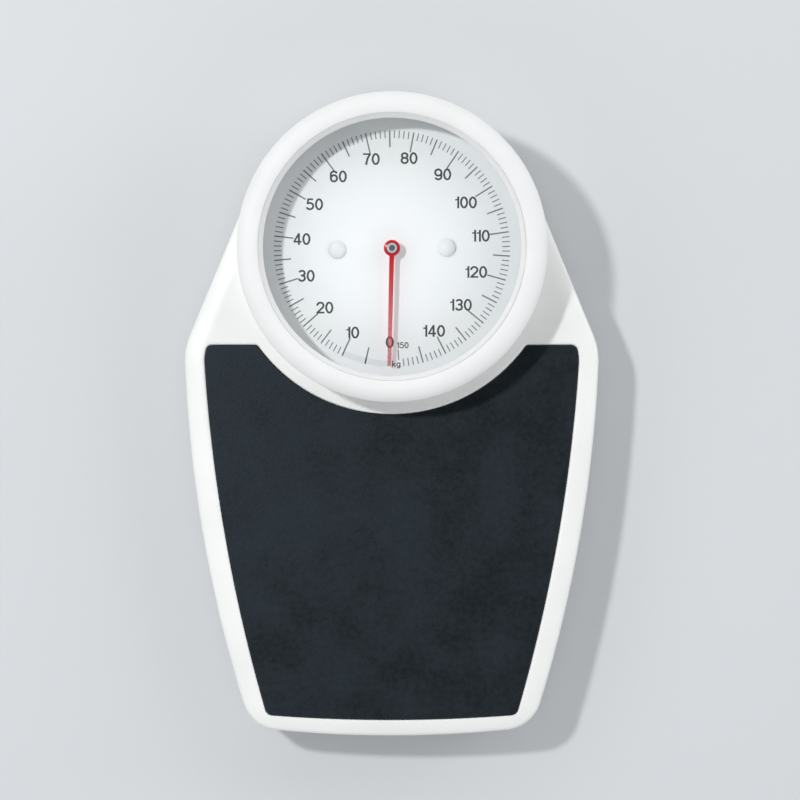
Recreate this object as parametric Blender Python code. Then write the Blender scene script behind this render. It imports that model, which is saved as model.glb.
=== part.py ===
"""Mechanical personal scale: a platform on four levers, with a pointer dial in a round tower."""

import math

import bmesh
import bpy
from mathutils import Matrix, Vector

# Overall sizes, in metres: x to the right, y towards the dial, z up, origin on the floor under the middle
platform_width = 0.310
overall_depth = 0.4795
overall_height = 0.112

# Running and fitting clearances
fit_gap = 0.0003
pin_gap = 0.0003
overrun = 0.004

# Plan shape of the platform cover, a chain of arcs that touch
tower_margin = 0.0008
wing_radius = 0.0512
wing_drop_share = 0.727
side_radius = 0.997
front_corner_radius = 0.0288
front_corner_share = 0.27
front_corner_setback = 0.0329

# Platform cover, pressed sheet
cover_wall = 0.0012
rim_share = 67 / 112
skirt_low = 0.016
edge_round = 0.005
recess_depth = 0.0028
drum_fillet = 0.0014
drum_foot_inset = 0.0005

# Tread mat, in its recess
mat_thickness = 0.002
mat_rim = 0.0153
mat_front_rim = 0.01245
mat_side_radius = 1.2136
mat_corner_spread = 0.0054
mat_corner_setback = 0.0089
mat_corner_radius = 0.0055
mat_wing_rise = 0.0119
mat_ear_radius = 0.0045
mat_horn_radius = 0.003
mat_drum_band = 0.0085

# Bezel ring and dial window
bezel_radius = 0.1143
bezel_overhang = 0.0011
bezel_ring_width = 0.0154
bezel_crown = 0.005
bezel_lip = 0.0007
bezel_slope_width = 0.0034
bezel_slope_drop = 0.0034
bezel_throat = 0.0013
crown_shares = [(0, 0), (0.04, 0.42), (0.14, 0.74), (0.31, 0.94), (0.52, 1), (0.78, 0.95), (1, 0.8)]
bezel_height = 0.014
collar_wall = 0.0017
collar_drop = 0.004
collar_gap = 0.0003
bead = 0.0008
bead_height = 0.001
window_thickness = 0.002
window_edge_gap = 0.0006

# Dial and pointer
dial_edge_gap = 0.006
dial_thickness = 0.0015
dial_share = 75 / 112
dial_hole_radius = 0.004
dial_turn = math.radians(1.1)
zero_offset = math.radians(2.4)
pointer_sweep = math.radians(355.2)
stud_spread_share = 0.385
stud_radius = 0.004
stud_neck_radius = 0.003
dome_radius = 0.00675
dome_height = 0.0034
pointer_edge_gap = 0.0185
pointer_root_width = 0.0045
pointer_tip_width = 0.003
pointer_thickness = 0.0008
pointer_height = 0.0086
boss_radius = 0.00595
boss_thickness = 0.002
arbor_radius = 0.0015
hub_radius = 0.0036
hub_height = 0.0018
hub_dimple_radius = 0.0014
hub_dimple_depth = 0.001

# Pinion and rack
tooth_module_share = 0.6 / 112
pinion_teeth = 14
pinion_face = 0.006
pinion_hub_radius = 0.0028
tip_share = 0.7
root_share = 1.15
tooth_tip_half_share = 0.1
tooth_root_half_share = 0.31
rack_height = 0.005
rack_back = 0.0046
rack_spare_teeth = 3
fork_half_depth = 0.0055
fork_half_height = 0.0055

# Movement plates between the base and the dial
movement_sheet = 0.0015
lower_plate_share = 50 / 112
upper_plate_share = 66 / 112
lower_plate_half_x = 0.028
lower_plate_half_y = 0.022
upper_plate_margin = 0.006
upper_plate_half_y = 0.019
column_radius = 0.0035
column_x = 0.022
column_y = 0.016
spacer_radius = 0.003
spacer_x = 0.016
spacer_y = 0.013
spool_flange = 0.0022

# Base tray
base_low = 0.006
base_sheet = 0.0012
base_rim_top = 0.022
base_corner_round = 0.003
skirt_gap = 0.0025
foot_radius = 0.013
foot_taper = 0.0015
foot_stud_radius = 0.004
foot_head_radius = 0.0058
foot_head_height = 0.0025
front_foot_inset = 0.0067
front_foot_setback = 0.033
rear_foot_x_share = 0.625
rear_foot_y_share = 0.524

# Levers, with their pins across
platform_travel = 0.00075
lever_offset = 0.024
front_fulcrum_spread = 0.0108
front_fulcrum_setback = 0.04475
rear_fulcrum_inset = 0.0193
rear_fulcrum_share = 0.645
pin_share = 26 / 112
pin_radius = 0.0025
long_lever_width = 0.012
long_lever_height = 0.009
short_lever_width = 0.010
short_lever_height = 0.006
lever_wall = 0.002
lever_tail = 0.008
nose_x = 0.030
nose_setback = 0.009
nose_reach = 0.006
nose_rest_gap = 0.0006
tongue_drop = 0.0025
tongue_reach = 0.006
bracket_side_gap = 0.002
bracket_sheet = 0.002
bracket_depth = 0.014
bracket_crest = 0.005
link_wire = 0.003
link_side_gap = 0.001
link_gap = 0.0004

# Nose plate, main spring, hanger, gantry and zero screw
nose_plate_share = 28 / 112
nose_plate_thickness = 0.003
nose_plate_half_x = 0.040
nose_plate_front = 0.016
nose_plate_rear = 0.001
nose_lobe_half_x = 0.013
nose_lobe_rear = 0.0115
screw_radius = 0.0025
screw_head_radius = 0.0045
screw_head_height = 0.003
main_spring_radius = 0.009
main_spring_wire = 0.0013
main_spring_turns = 7
hanger_share = 60 / 112
hanger_thickness = 0.004
hanger_half_y = 0.005
gantry_half_x = 0.044
gantry_sheet = 0.002
gantry_rise = 0.0013
gantry_front = 0.010
gantry_rear = 0.006
gantry_flange = 0.010
wheel_radius = 0.0245
wheel_thickness = 0.0055
wheel_lift = 0.0007
wheel_stand_out = 0.0015
wheel_ridges = 40
ridge_depth = 0.0006
wheel_slot_side = 0.003
wheel_slot_top = 0.0155

# Bell crank on its bracket
crank_swing = math.radians(45)
crank_setback = 0.030
crank_thickness = 0.0025
crank_rack_gap = 0.0005
crank_arm_half = 0.0018
crank_tip_radius = 0.003
crank_eye_radius = 0.005
crank_contact_gap = 0.0004
crank_pin_radius = 0.002
rack_pin_radius = 0.0015
rack_pin_reach = 0.0008
crank_ear = 0.002
crank_ear_gap = 0.0005
crank_bracket_half_y = 0.005
crank_bracket_crest = 0.0045
crank_spring_room = 0.0045
crank_spring_radius = 0.0031
crank_spring_wire = 0.0004
crank_spring_turns = 3

# Springs that keep the cover on the base
retainer_x = 0.045
retainer_setback = 0.010
retainer_radius = 0.0045
retainer_wire = 0.0006
retainer_turns = 6

# Facets
turn_steps = 64
small_steps = 20
tiny_steps = 12
spring_steps = 9

# Sizes that follow from the ones above
front_y = -overall_depth / 2
rim_top = overall_height * rim_share
drum_top = overall_height - bezel_height
tower_radius = bezel_radius + tower_margin
tower_y = overall_depth / 2 - tower_radius
drum_radius = bezel_radius - bezel_overhang
mat_cut_radius = tower_radius + mat_drum_band
wing_x = platform_width / 2 - wing_radius
wing_y = tower_y - tower_radius * wing_drop_share
wing_span = math.hypot(wing_x, tower_y - wing_y)
wing_angle = math.atan2(tower_y - wing_y, -wing_x) - math.acos((wing_radius - tower_radius) / wing_span)
front_corner_x = platform_width * front_corner_share
mat_corner_x = front_corner_x + mat_corner_spread
mat_top_y = wing_y + mat_wing_rise
bezel_opening = bezel_radius - bezel_ring_width
window_radius = bezel_opening + bezel_slope_width - window_edge_gap
dial_top = overall_height * dial_share
dial_radius = drum_radius - cover_wall - dial_edge_gap
stud_spread = dial_radius * stud_spread_share
pointer_length = dial_radius - pointer_edge_gap
lower_plate_low = overall_height * lower_plate_share
upper_plate_low = overall_height * upper_plate_share
upper_plate_half_x = stud_spread + upper_plate_margin
front_fulcrum = (front_corner_x + front_fulcrum_spread, front_y + front_fulcrum_setback)
rear_fulcrum_y = wing_y + (tower_y - wing_y) * rear_fulcrum_share
wing_line_reach = wing_x * math.cos(wing_angle) + wing_y * math.sin(wing_angle) + wing_radius
rear_reach = wing_line_reach - rear_fulcrum_inset - rear_fulcrum_y * math.sin(wing_angle)
rear_fulcrum = (rear_reach / math.cos(wing_angle), rear_fulcrum_y)
pin_height = overall_height * pin_share
front_foot = (front_corner_x - front_foot_inset, front_y + front_foot_setback)
rear_foot = (tower_radius * rear_foot_x_share, tower_y + tower_radius * rear_foot_y_share)
foot_places = {"front": front_foot, "rear": rear_foot}
nose_plate_low = overall_height * nose_plate_share
hanger_low = overall_height * hanger_share
gantry_top = rim_top + gantry_rise
tooth_module = overall_height * tooth_module_share
base_inset = cover_wall + skirt_gap
base_floor = base_low + base_sheet
seat = base_floor + fit_gap
zero_direction = -math.pi / 2 - zero_offset + dial_turn
pinion_radius = tooth_module * pinion_teeth / 2
tooth_pitch = math.pi * tooth_module
rack_travel = pinion_radius * pointer_sweep
spring_y = overall_depth / 2 - base_inset + wheel_stand_out - wheel_radius
nose_y = spring_y - nose_setback
nose_plate_top = nose_plate_low + nose_plate_thickness
lever_angle = platform_travel / lever_offset
nose_drop = (nose_y - front_fulcrum[1]) * lever_angle
joint_y = (front_fulcrum[1] + rear_fulcrum[1]) / 2
retainer_y = joint_y - retainer_setback
crank_y = spring_y - crank_setback
crank_long_arm = rack_travel / 2 / math.sin(crank_swing / 2)
crank_short_arm = nose_drop / 2 / math.sin(crank_swing / 2)
crank_z = nose_plate_top + crank_contact_gap + crank_tip_radius - crank_short_arm * math.sin(crank_swing / 2)
rack_pin_z = crank_z + crank_long_arm * math.cos(crank_swing / 2)
rack_pin_y = crank_y - crank_long_arm * math.sin(crank_swing / 2)
rack_low = (rack_pin_z + crank_z + crank_long_arm) / 2 - rack_height / 2
rack_root_x = -pinion_radius - root_share * tooth_module
rack_back_x = rack_root_x - rack_back
crank_x = rack_back_x - crank_rack_gap - crank_thickness / 2


def clear_scene():
    for item in list(bpy.data.objects):
        bpy.data.objects.remove(item, do_unlink=True)


def finish(name, colour, roughness, metallic=0.0):
    material = bpy.data.materials.get(name)
    if material:
        return material
    material = bpy.data.materials.new(name)
    material.use_nodes = True
    shader = material.node_tree.nodes["Principled BSDF"]
    shader.inputs["Base Color"].default_value = (*colour, 1.0)
    shader.inputs["Roughness"].default_value = roughness
    shader.inputs["Metallic"].default_value = metallic
    material.diffuse_color = (*colour, 1.0)
    return material


def white_lacquer():
    return finish("white_lacquer", (0.86, 0.87, 0.86), 0.32)


def white_moulding():
    return finish("white_moulding", (0.87, 0.88, 0.88), 0.28)


def dark_rubber():
    return finish("dark_rubber", (0.035, 0.042, 0.048), 0.8)


def clear_sheet():
    return finish("clear_sheet", (0.92, 0.95, 0.95), 0.05)


def dial_print():
    return finish("dial_print", (0.9, 0.9, 0.89), 0.45)


def red_plastic():
    return finish("red_plastic", (0.72, 0.03, 0.03), 0.35)


def grey_plastic():
    return finish("grey_plastic", (0.3, 0.31, 0.32), 0.4)


def zinc_steel():
    return finish("zinc_steel", (0.62, 0.62, 0.6), 0.38, 0.9)


def spring_steel():
    return finish("spring_steel", (0.45, 0.46, 0.48), 0.3, 0.9)


def brass():
    return finish("brass", (0.7, 0.52, 0.24), 0.3, 0.9)


def make_object(name, mesh, material):
    item = bpy.data.objects.new(name, mesh)
    mesh.materials.append(material)
    bpy.context.scene.collection.objects.link(item)
    return item


def solid(name, shape, material):
    bmesh.ops.recalc_face_normals(shape, faces=shape.faces)
    mesh = bpy.data.meshes.new(name)
    shape.to_mesh(mesh)
    shape.free()
    mesh.shade_smooth()
    mesh.set_sharp_from_angle(angle=math.radians(35))
    return make_object(name, mesh, material)


def prism(name, outline, low, high, material, along="Z"):
    """An outline pushed along an axis: (x, y) along Z, (x, z) along Y, (y, z) along X."""
    place = {
        "Z": lambda a, b, t: (a, b, t),
        "Y": lambda a, b, t: (a, t, b),
        "X": lambda a, b, t: (t, a, b),
    }[along]
    shape = bmesh.new()
    face = shape.faces.new([shape.verts.new(place(a, b, low)) for a, b in outline])
    pushed = bmesh.ops.extrude_face_region(shape, geom=[face])
    corners = [part for part in pushed["geom"] if isinstance(part, bmesh.types.BMVert)]
    bmesh.ops.translate(shape, verts=corners, vec=Vector(place(0, 0, high - low)))
    return solid(name, shape, material)


def rounded_prism(name, outline, low, high, radius, material, segments=3, at_top=True):
    """A prism along Z whose top or bottom edge is rounded."""
    item = prism(name, outline, low, high, material)
    shape = bmesh.new()
    shape.from_mesh(item.data)
    level = high if at_top else low
    rim = [e for e in shape.edges if all(abs(v.co.z - level) < fit_gap for v in e.verts)]
    bmesh.ops.bevel(
        shape, geom=rim, offset=radius, offset_type="OFFSET", segments=segments,
        profile=0.5, affect="EDGES", material=-1,
    )
    bmesh.ops.recalc_face_normals(shape, faces=shape.faces)
    shape.to_mesh(item.data)
    shape.free()
    item.data.shade_smooth()
    item.data.set_sharp_from_angle(angle=math.radians(35))
    return item


def turned(name, profile, material, steps, place=(0, 0), closed=True):
    """A (radius, height) profile turned about the vertical through place."""
    shape = bmesh.new()
    points = [shape.verts.new((radius, 0, height)) for radius, height in profile]
    edges = [shape.edges.new(pair) for pair in zip(points, points[1:])]
    if closed:
        edges.append(shape.edges.new((points[-1], points[0])))
    bmesh.ops.spin(
        shape, geom=points + edges, cent=(0, 0, 0), axis=(0, 0, 1), angle=2 * math.pi,
        steps=steps, use_merge=True,
    )
    bmesh.ops.remove_doubles(shape, verts=shape.verts, dist=1e-6)
    bmesh.ops.translate(shape, verts=shape.verts, vec=(*place, 0))
    return solid(name, shape, material)


def rod(name, start, end, radius, material, steps=small_steps):
    """A round bar between two points."""
    start, end = Vector(start), Vector(end)
    shape = bmesh.new()
    bmesh.ops.create_cone(
        shape, cap_ends=True, segments=steps, radius1=radius, radius2=radius, depth=(end - start).length
    )
    turn = Vector((0, 0, 1)).rotation_difference(end - start).to_matrix().to_4x4()
    bmesh.ops.transform(shape, verts=shape.verts, matrix=Matrix.Translation((start + end) / 2) @ turn)
    return solid(name, shape, material)


def change(item, other, operation):
    other.hide_render = True
    other.display_type = "WIRE"
    step = item.modifiers.new(operation.lower(), "BOOLEAN")
    step.operation = operation
    step.solver = "EXACT"
    step.object = other


def cut(item, cutter):
    change(item, cutter, "DIFFERENCE")


def join(item, other):
    change(item, other, "UNION")


def box_outline(low_a, high_a, low_b, high_b):
    return [(low_a, low_b), (high_a, low_b), (high_a, high_b), (low_a, high_b)]


def pivot(name, place, items):
    """An empty on a joint's axis that carries the pieces which move there."""
    holder = bpy.data.objects.new(name, None)
    holder.location = place
    holder.empty_display_size = pin_radius
    bpy.context.scene.collection.objects.link(holder)
    for item in items:
        item.parent = holder
        item.matrix_parent_inverse = Matrix.Translation(-Vector(place))
    return holder


def arc(centre, radius, start, end, steps):
    turns = [start + (end - start) * i / steps for i in range(steps + 1)]
    return [(centre[0] + radius * math.cos(t), centre[1] + radius * math.sin(t)) for t in turns]


def bearing(start, end):
    return math.atan2(end[1] - start[1], end[0] - start[0])


def meeting(first, first_reach, second, second_reach):
    """The point at a given reach from two others, to the left of the way from first to second."""
    across = Vector(second) - Vector(first)
    span = across.length
    along = (first_reach**2 - second_reach**2 + span**2) / (2 * span)
    side = math.sqrt(first_reach**2 - along**2)
    ahead = across / span
    return Vector(first) + ahead * along + Vector((ahead.y, -ahead.x)) * side


def bowed_front(corner, radius, line):
    """Centre and radius of the arc that touches the front line at x = 0 and the corner arc."""
    rise = corner[1] - line
    bow = (corner[0] ** 2 + rise**2 - radius**2) / (2 * (rise - radius))
    return Vector((0, line + bow)), bow


def closed_from_half(half):
    kept = [half[0]]
    for point in half[1:]:
        if (Vector(point) - Vector(kept[-1])).length > overrun / 100:
            kept.append(point)
    return kept + [(-x, y) for x, y in reversed(kept[1:-1])]


def cover_outline(inset=0.0):
    """Plan outline of the platform cover, drawn in by inset."""
    wing = Vector((wing_x, wing_y))
    corner = Vector((front_corner_x, front_y + front_corner_setback))
    side = meeting(wing, side_radius - wing_radius, corner, side_radius - front_corner_radius)
    front, bow = bowed_front(corner, front_corner_radius, front_y)
    half = arc(front, bow - inset, -math.pi / 2, bearing(front, corner), 3)
    half += arc(corner, front_corner_radius - inset, bearing(front, corner), bearing(side, corner), 7)
    half += arc(side, side_radius - inset, bearing(side, corner), bearing(side, wing), 6)
    half += arc(wing, wing_radius - inset, bearing(side, wing), wing_angle, 6)
    half += arc((0, tower_y), tower_radius - inset, wing_angle, math.pi / 2, 12)
    return closed_from_half(half)


def mat_outline(grow=0.0):
    """Plan outline of the tread mat, with its round cut-out at the drum, made larger by grow."""
    wing = Vector((wing_x, wing_y))
    wing_arc = wing_radius - mat_rim
    front_line = front_y + mat_front_rim
    corner = Vector((mat_corner_x, front_line + mat_corner_setback))
    side = meeting(wing, mat_side_radius - wing_arc, corner, mat_side_radius - mat_corner_radius)
    front, bow = bowed_front(corner, mat_corner_radius, front_line)
    ear_turn = math.asin((mat_top_y - mat_ear_radius - wing_y) / (wing_arc - mat_ear_radius))
    ear = wing + (wing_arc - mat_ear_radius) * Vector((math.cos(ear_turn), math.sin(ear_turn)))
    horn_y = mat_top_y - mat_horn_radius
    horn_reach = mat_cut_radius + mat_horn_radius
    horn = Vector((math.sqrt(horn_reach**2 - (tower_y - horn_y) ** 2), horn_y))
    horn_turn = bearing(horn, (0, tower_y))
    half = arc(front, bow + grow, -math.pi / 2, bearing(front, corner), 3)
    half += arc(corner, mat_corner_radius + grow, bearing(front, corner), bearing(side, corner), 5)
    half += arc(side, mat_side_radius + grow, bearing(side, corner), bearing(side, wing), 6)
    half += arc(wing, wing_arc + grow, bearing(side, wing), ear_turn, 3)
    half += arc(ear, mat_ear_radius + grow, ear_turn, math.pi / 2, 5)
    half += arc(horn, mat_horn_radius + grow, math.pi / 2, horn_turn, 4)
    half += arc((0, tower_y), mat_cut_radius - grow, horn_turn - math.pi, -math.pi / 2, 10)
    return closed_from_half(half)


def platform_cover():
    cover = rounded_prism("platform_cover", cover_outline(), skirt_low, rim_top, edge_round, white_lacquer())
    foot_radius_here = tower_radius - drum_foot_inset
    fillet = [
        (drum_radius + drum_fillet * (1 - math.sin(t)), rim_top + drum_fillet * (1 - math.cos(t)))
        for t in (math.radians(30), math.radians(60), math.radians(90))
    ]
    drum = turned(
        "drum_form",
        [(0, rim_top - edge_round * 2), (foot_radius_here, rim_top - edge_round * 2), (foot_radius_here, rim_top)]
        + fillet
        + [(drum_radius, drum_top), (0, drum_top)],
        white_lacquer(), turn_steps, (0, tower_y), closed=False,
    )
    inside = rounded_prism(
        "cover_inside", cover_outline(cover_wall), skirt_low - overrun, rim_top - cover_wall,
        edge_round - cover_wall, white_lacquer(), segments=2,
    )
    pressed = prism(
        "recess_form", mat_outline(fit_gap + cover_wall), rim_top - recess_depth - cover_wall,
        rim_top + overrun, white_lacquer(),
    )
    cut(inside, pressed)
    drum_inside = drum_radius - cover_wall
    flange_radius = bezel_opening + bezel_slope_width + collar_wall + collar_gap
    drum_hollow = turned(
        "drum_inside",
        [(0, rim_top - edge_round * 4), (drum_inside, rim_top - edge_round * 4),
         (drum_inside, drum_top - cover_wall), (flange_radius, drum_top - cover_wall),
         (flange_radius, drum_top + overrun), (0, drum_top + overrun)],
        white_lacquer(), turn_steps, (0, tower_y), closed=False,
    )
    recess = prism("recess_cutter", mat_outline(fit_gap), rim_top - recess_depth, rim_top + overrun, white_lacquer())
    join(cover, drum)
    cut(cover, inside)
    cut(cover, drum_hollow)
    cut(cover, recess)
    return cover


def tread_mat():
    low = rim_top - recess_depth + fit_gap
    return prism("tread_mat", mat_outline(), low, low + mat_thickness, dark_rubber())


def bezel_ring():
    low = drum_top + fit_gap
    shoulder = overall_height - bezel_crown
    crown = [(bezel_radius - bezel_ring_width * a, shoulder + bezel_crown * b) for a, b in crown_shares]
    edge = crown[-1][1] - bezel_lip
    throat = bezel_opening - bezel_slope_width
    ledge = edge - bezel_slope_drop - bezel_throat
    collar_inside = window_radius + fit_gap
    collar_outside = bezel_opening + bezel_slope_width + collar_wall
    flange_under = drum_top - cover_wall - fit_gap
    catch = ledge - fit_gap - window_thickness - fit_gap
    inner = [
        (bezel_opening, edge), (throat, edge - bezel_slope_drop), (throat, ledge), (collar_inside, ledge),
        (collar_inside, catch), (collar_inside - bead, catch - bead_height / 2),
        (collar_inside, catch - bead_height), (collar_inside, drum_top - collar_drop),
    ]
    outer = [
        (collar_outside, drum_top - collar_drop), (collar_outside + bead, flange_under - bead_height / 2),
        (collar_outside, flange_under), (collar_outside, low), (bezel_radius, low),
    ]
    return turned("bezel_ring", crown + inner + outer, white_moulding(), turn_steps, (0, tower_y))


def window_top():
    shoulder = overall_height - bezel_crown
    edge = shoulder + bezel_crown * crown_shares[-1][1] - bezel_lip
    return edge - bezel_slope_drop - bezel_throat - fit_gap


def dial_window():
    top = window_top()
    low = top - window_thickness
    profile = [(0, low), (window_radius, low), (window_radius, top), (0, top)]
    return turned("dial_window", profile, clear_sheet(), turn_steps, (0, tower_y), closed=False)


def stud_places():
    spread = Vector((math.cos(dial_turn), math.sin(dial_turn))) * stud_spread
    return {"left": (-spread.x, tower_y - spread.y), "right": (spread.x, tower_y + spread.y)}


def dial_face():
    low = dial_top - dial_thickness
    profile = [(dial_hole_radius, low), (dial_radius, low), (dial_radius, dial_top), (dial_hole_radius, dial_top)]
    face = turned("dial_face", profile, dial_print(), turn_steps, (0, tower_y))
    for side, (x, y) in stud_places().items():
        cut(face, rod("stud_hole_" + side, (x, y, low - overrun), (x, y, dial_top + overrun),
                      stud_neck_radius + pin_gap, dial_print()))
    return face


def dial_stud(side, place):
    low = upper_plate_low + movement_sheet + fit_gap
    seat_under = dial_top - dial_thickness - fit_gap
    brim = dial_top + fit_gap
    turns = [math.radians(90 * i / 4) for i in range(5)]
    dome = [(dome_radius * math.cos(t), brim + dome_height * math.sin(t)) for t in turns[:-1]]
    profile = [(0, low), (stud_radius, low), (stud_radius, seat_under), (stud_neck_radius, seat_under),
               (stud_neck_radius, brim)] + dome + [(0, brim + dome_height)]
    return turned("dial_stud_" + side, profile, white_moulding(), small_steps, place, closed=False)


def pointer():
    blade_low = dial_top + pointer_height
    ahead = Vector((math.cos(zero_direction), math.sin(zero_direction)))
    across = Vector((-ahead.y, ahead.x))
    hub = Vector((0, tower_y))
    ends = ((0, pointer_root_width / 2), (pointer_length, pointer_tip_width / 2))
    outline = [hub + ahead * reach - across * half for reach, half in ends]
    outline += [hub + ahead * reach + across * half for reach, half in reversed(ends)]
    boss_low = blade_low + pointer_thickness / 2 - boss_thickness / 2
    boss = [(0, boss_low), (boss_radius, boss_low), (boss_radius, boss_low + boss_thickness), (0, boss_low + boss_thickness)]
    blade = prism("pointer", [tuple(p) for p in outline], blade_low, blade_low + pointer_thickness, red_plastic())
    join(blade, turned("pointer_boss", boss, red_plastic(), small_steps, (0, tower_y), closed=False))
    cut(blade, rod("pointer_hole", (0, tower_y, dial_top), (0, tower_y, overall_height),
                   arbor_radius + pin_gap, red_plastic(), tiny_steps))
    return blade


def boss_top():
    return dial_top + pointer_height + pointer_thickness / 2 + boss_thickness / 2


def pointer_hub():
    low = boss_top() + fit_gap
    top = low + hub_height
    bore = arbor_radius + pin_gap
    face = top - hub_dimple_depth
    profile = [(bore, low), (hub_radius, low), (hub_radius, face), (hub_radius - bead, top),
               (hub_dimple_radius + bead, top), (bore, face)]
    return turned("pointer_hub", profile, grey_plastic(), small_steps, (0, tower_y))


def pointer_arbor():
    low = lower_plate_low - bead_height
    top = boss_top() + fit_gap + hub_height - hub_dimple_depth
    return rod("pointer_arbor", (0, tower_y, low), (0, tower_y, top), arbor_radius, zinc_steel(), tiny_steps)


def tooth(half_root, half_tip):
    """Corner offsets of one tooth across its flanks, as (offset, 0 at the root or 1 at the tip)."""
    return [(-half_root, 0), (-half_tip, 1), (half_tip, 1), (half_root, 0)]


def pinion():
    inner = pinion_radius - root_share * tooth_module
    outer = pinion_radius + tip_share * tooth_module
    step = 2 * math.pi / pinion_teeth
    outline = []
    for i in range(pinion_teeth):
        for offset, tip in tooth(tooth_root_half_share, tooth_tip_half_share):
            turn = math.pi + (i + offset) * step
            reach = outer if tip else inner
            outline.append((reach * math.cos(turn), tower_y + reach * math.sin(turn)))
    low = rack_low + rack_height / 2 - pinion_face / 2
    wheel = prism("pinion", outline, low, low + pinion_face, brass())
    hub_low = lower_plate_low + movement_sheet + fit_gap
    hub = rod("pinion_hub_form", (0, tower_y, hub_low), (0, tower_y, low + pinion_face / 2), pinion_hub_radius, brass())
    join(wheel, hub)
    cut(wheel, rod("pinion_bore", (0, tower_y, hub_low - overrun), (0, tower_y, low + pinion_face + overrun),
                   arbor_radius + pin_gap, brass(), tiny_steps))
    return wheel


def rack():
    """Toothed bar left of the pinion, with a fork at its rear end for the crank's pin."""
    teeth = math.ceil(rack_travel / tooth_pitch) + 2 * rack_spare_teeth
    first = tower_y - (teeth - rack_spare_teeth - 0.5) * tooth_pitch
    tip_x = -pinion_radius + tip_share * tooth_module
    outline = [(rack_back_x, first - tooth_pitch / 2)]
    outline.append((rack_root_x, first - tooth_pitch / 2))
    for i in range(teeth):
        for offset, tip in tooth(tooth_root_half_share, tooth_tip_half_share):
            outline.append((tip_x if tip else rack_root_x, first + (i + offset) * tooth_pitch))
    rear = rack_pin_y + fork_half_depth
    outline += [(rack_root_x, rear), (rack_back_x, rear)]
    bar = prism("rack", outline, rack_low, rack_low + rack_height, brass())
    middle = rack_low + rack_height / 2
    block = prism("rack_fork_form",
                  box_outline(rack_pin_y - fork_half_depth, rear, middle - fork_half_height, middle + fork_half_height),
                  rack_back_x, rack_root_x, brass(), along="X")
    slot_half = rack_pin_radius + pin_gap
    slot_top = crank_z + crank_long_arm + rack_pin_radius + pin_gap
    slot = prism("rack_slot",
                 box_outline(rack_pin_y - slot_half, rack_pin_y + slot_half,
                             middle - fork_half_height - overrun, slot_top),
                 rack_back_x - overrun, rack_root_x + overrun, brass(), along="X")
    join(bar, block)
    cut(bar, slot)
    return bar


def movement_plate(name, low, half_x, half_y):
    plate = prism(name, box_outline(-half_x, half_x, tower_y - half_y, tower_y + half_y),
                  low, low + movement_sheet, zinc_steel())
    cut(plate, rod(name + "_bore", (0, tower_y, low - overrun), (0, tower_y, low + movement_sheet + overrun),
                   arbor_radius + pin_gap, zinc_steel(), tiny_steps))
    return plate


def movement_column(name, x, y):
    return rod(name, (x, y, seat), (x, y, lower_plate_low - fit_gap), column_radius, zinc_steel(), tiny_steps)


def plate_spacer(name, y):
    low = lower_plate_low + movement_sheet + fit_gap
    return rod(name, (spacer_x, y, low), (spacer_x, y, upper_plate_low - fit_gap), spacer_radius, brass(), tiny_steps)


def rack_spool(name, y):
    """Spacer behind the rack, with flanges that hold the rack's height."""
    low = lower_plate_low + movement_sheet + fit_gap
    top = upper_plate_low - fit_gap
    under = rack_low - fit_gap
    over = rack_low + rack_height + fit_gap
    rim = spacer_radius + spool_flange
    profile = [(0, low), (rim, low), (rim, under), (spacer_radius, under), (spacer_radius, over),
               (rim, over), (rim, top), (0, top)]
    x = rack_back_x - fit_gap - spacer_radius
    return turned(name, profile, brass(), tiny_steps, (x, y), closed=False)


def base_plate():
    tray = rounded_prism("base_plate", cover_outline(base_inset), base_low, base_rim_top, base_corner_round,
                         white_lacquer(), segments=2, at_top=False)
    cut(tray, prism("base_inside", cover_outline(base_inset + base_sheet), base_floor, base_rim_top + overrun,
                    white_lacquer()))
    for x, y in foot_places.values():
        for side in (-1, 1):
            cut(tray, rod("foot_hole", (side * x, y, base_low - overrun), (side * x, y, base_floor + overrun),
                          foot_stud_radius + pin_gap, white_lacquer()))
    wall_reach = overall_depth / 2 - base_inset - base_sheet - spring_y
    slot_half = math.sqrt(wheel_radius**2 - wall_reach**2) + wheel_slot_side
    cut(tray, prism("wheel_slot",
                    box_outline(-slot_half, slot_half, base_floor + fit_gap, wheel_slot_top),
                    spring_y, overall_depth / 2, white_lacquer(), along="Y"))
    return tray


def rubber_foot(name, place):
    under = base_low - fit_gap
    over = base_floor + fit_gap
    profile = [(0, 0), (foot_radius - foot_taper, 0), (foot_radius, foot_taper), (foot_radius, under),
               (foot_stud_radius, under), (foot_stud_radius, over), (foot_head_radius, over),
               (foot_stud_radius, over + foot_head_height), (0, over + foot_head_height)]
    return turned(name, profile, dark_rubber(), small_steps, place, closed=False)


def fulcrum_bracket(name, place):
    """An upright U that holds a lever's fulcrum pin between two ears."""
    x, y = place
    inner = long_lever_width / 2 + bracket_side_gap
    outer = inner + bracket_sheet
    top = pin_height + bracket_crest
    floor = seat + bracket_sheet
    outline = [(x - outer, seat), (x + outer, seat), (x + outer, top), (x + inner, top),
               (x + inner, floor), (x - inner, floor), (x - inner, top), (x - outer, top)]
    bracket = prism(name, outline, y - bracket_depth / 2, y + bracket_depth / 2, zinc_steel(), along="Y")
    reach = outer + overrun
    cut(bracket, rod(name + "_bore", (x - reach, y, pin_height), (x + reach, y, pin_height),
                     pin_radius + pin_gap, zinc_steel(), tiny_steps))
    return bracket


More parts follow.
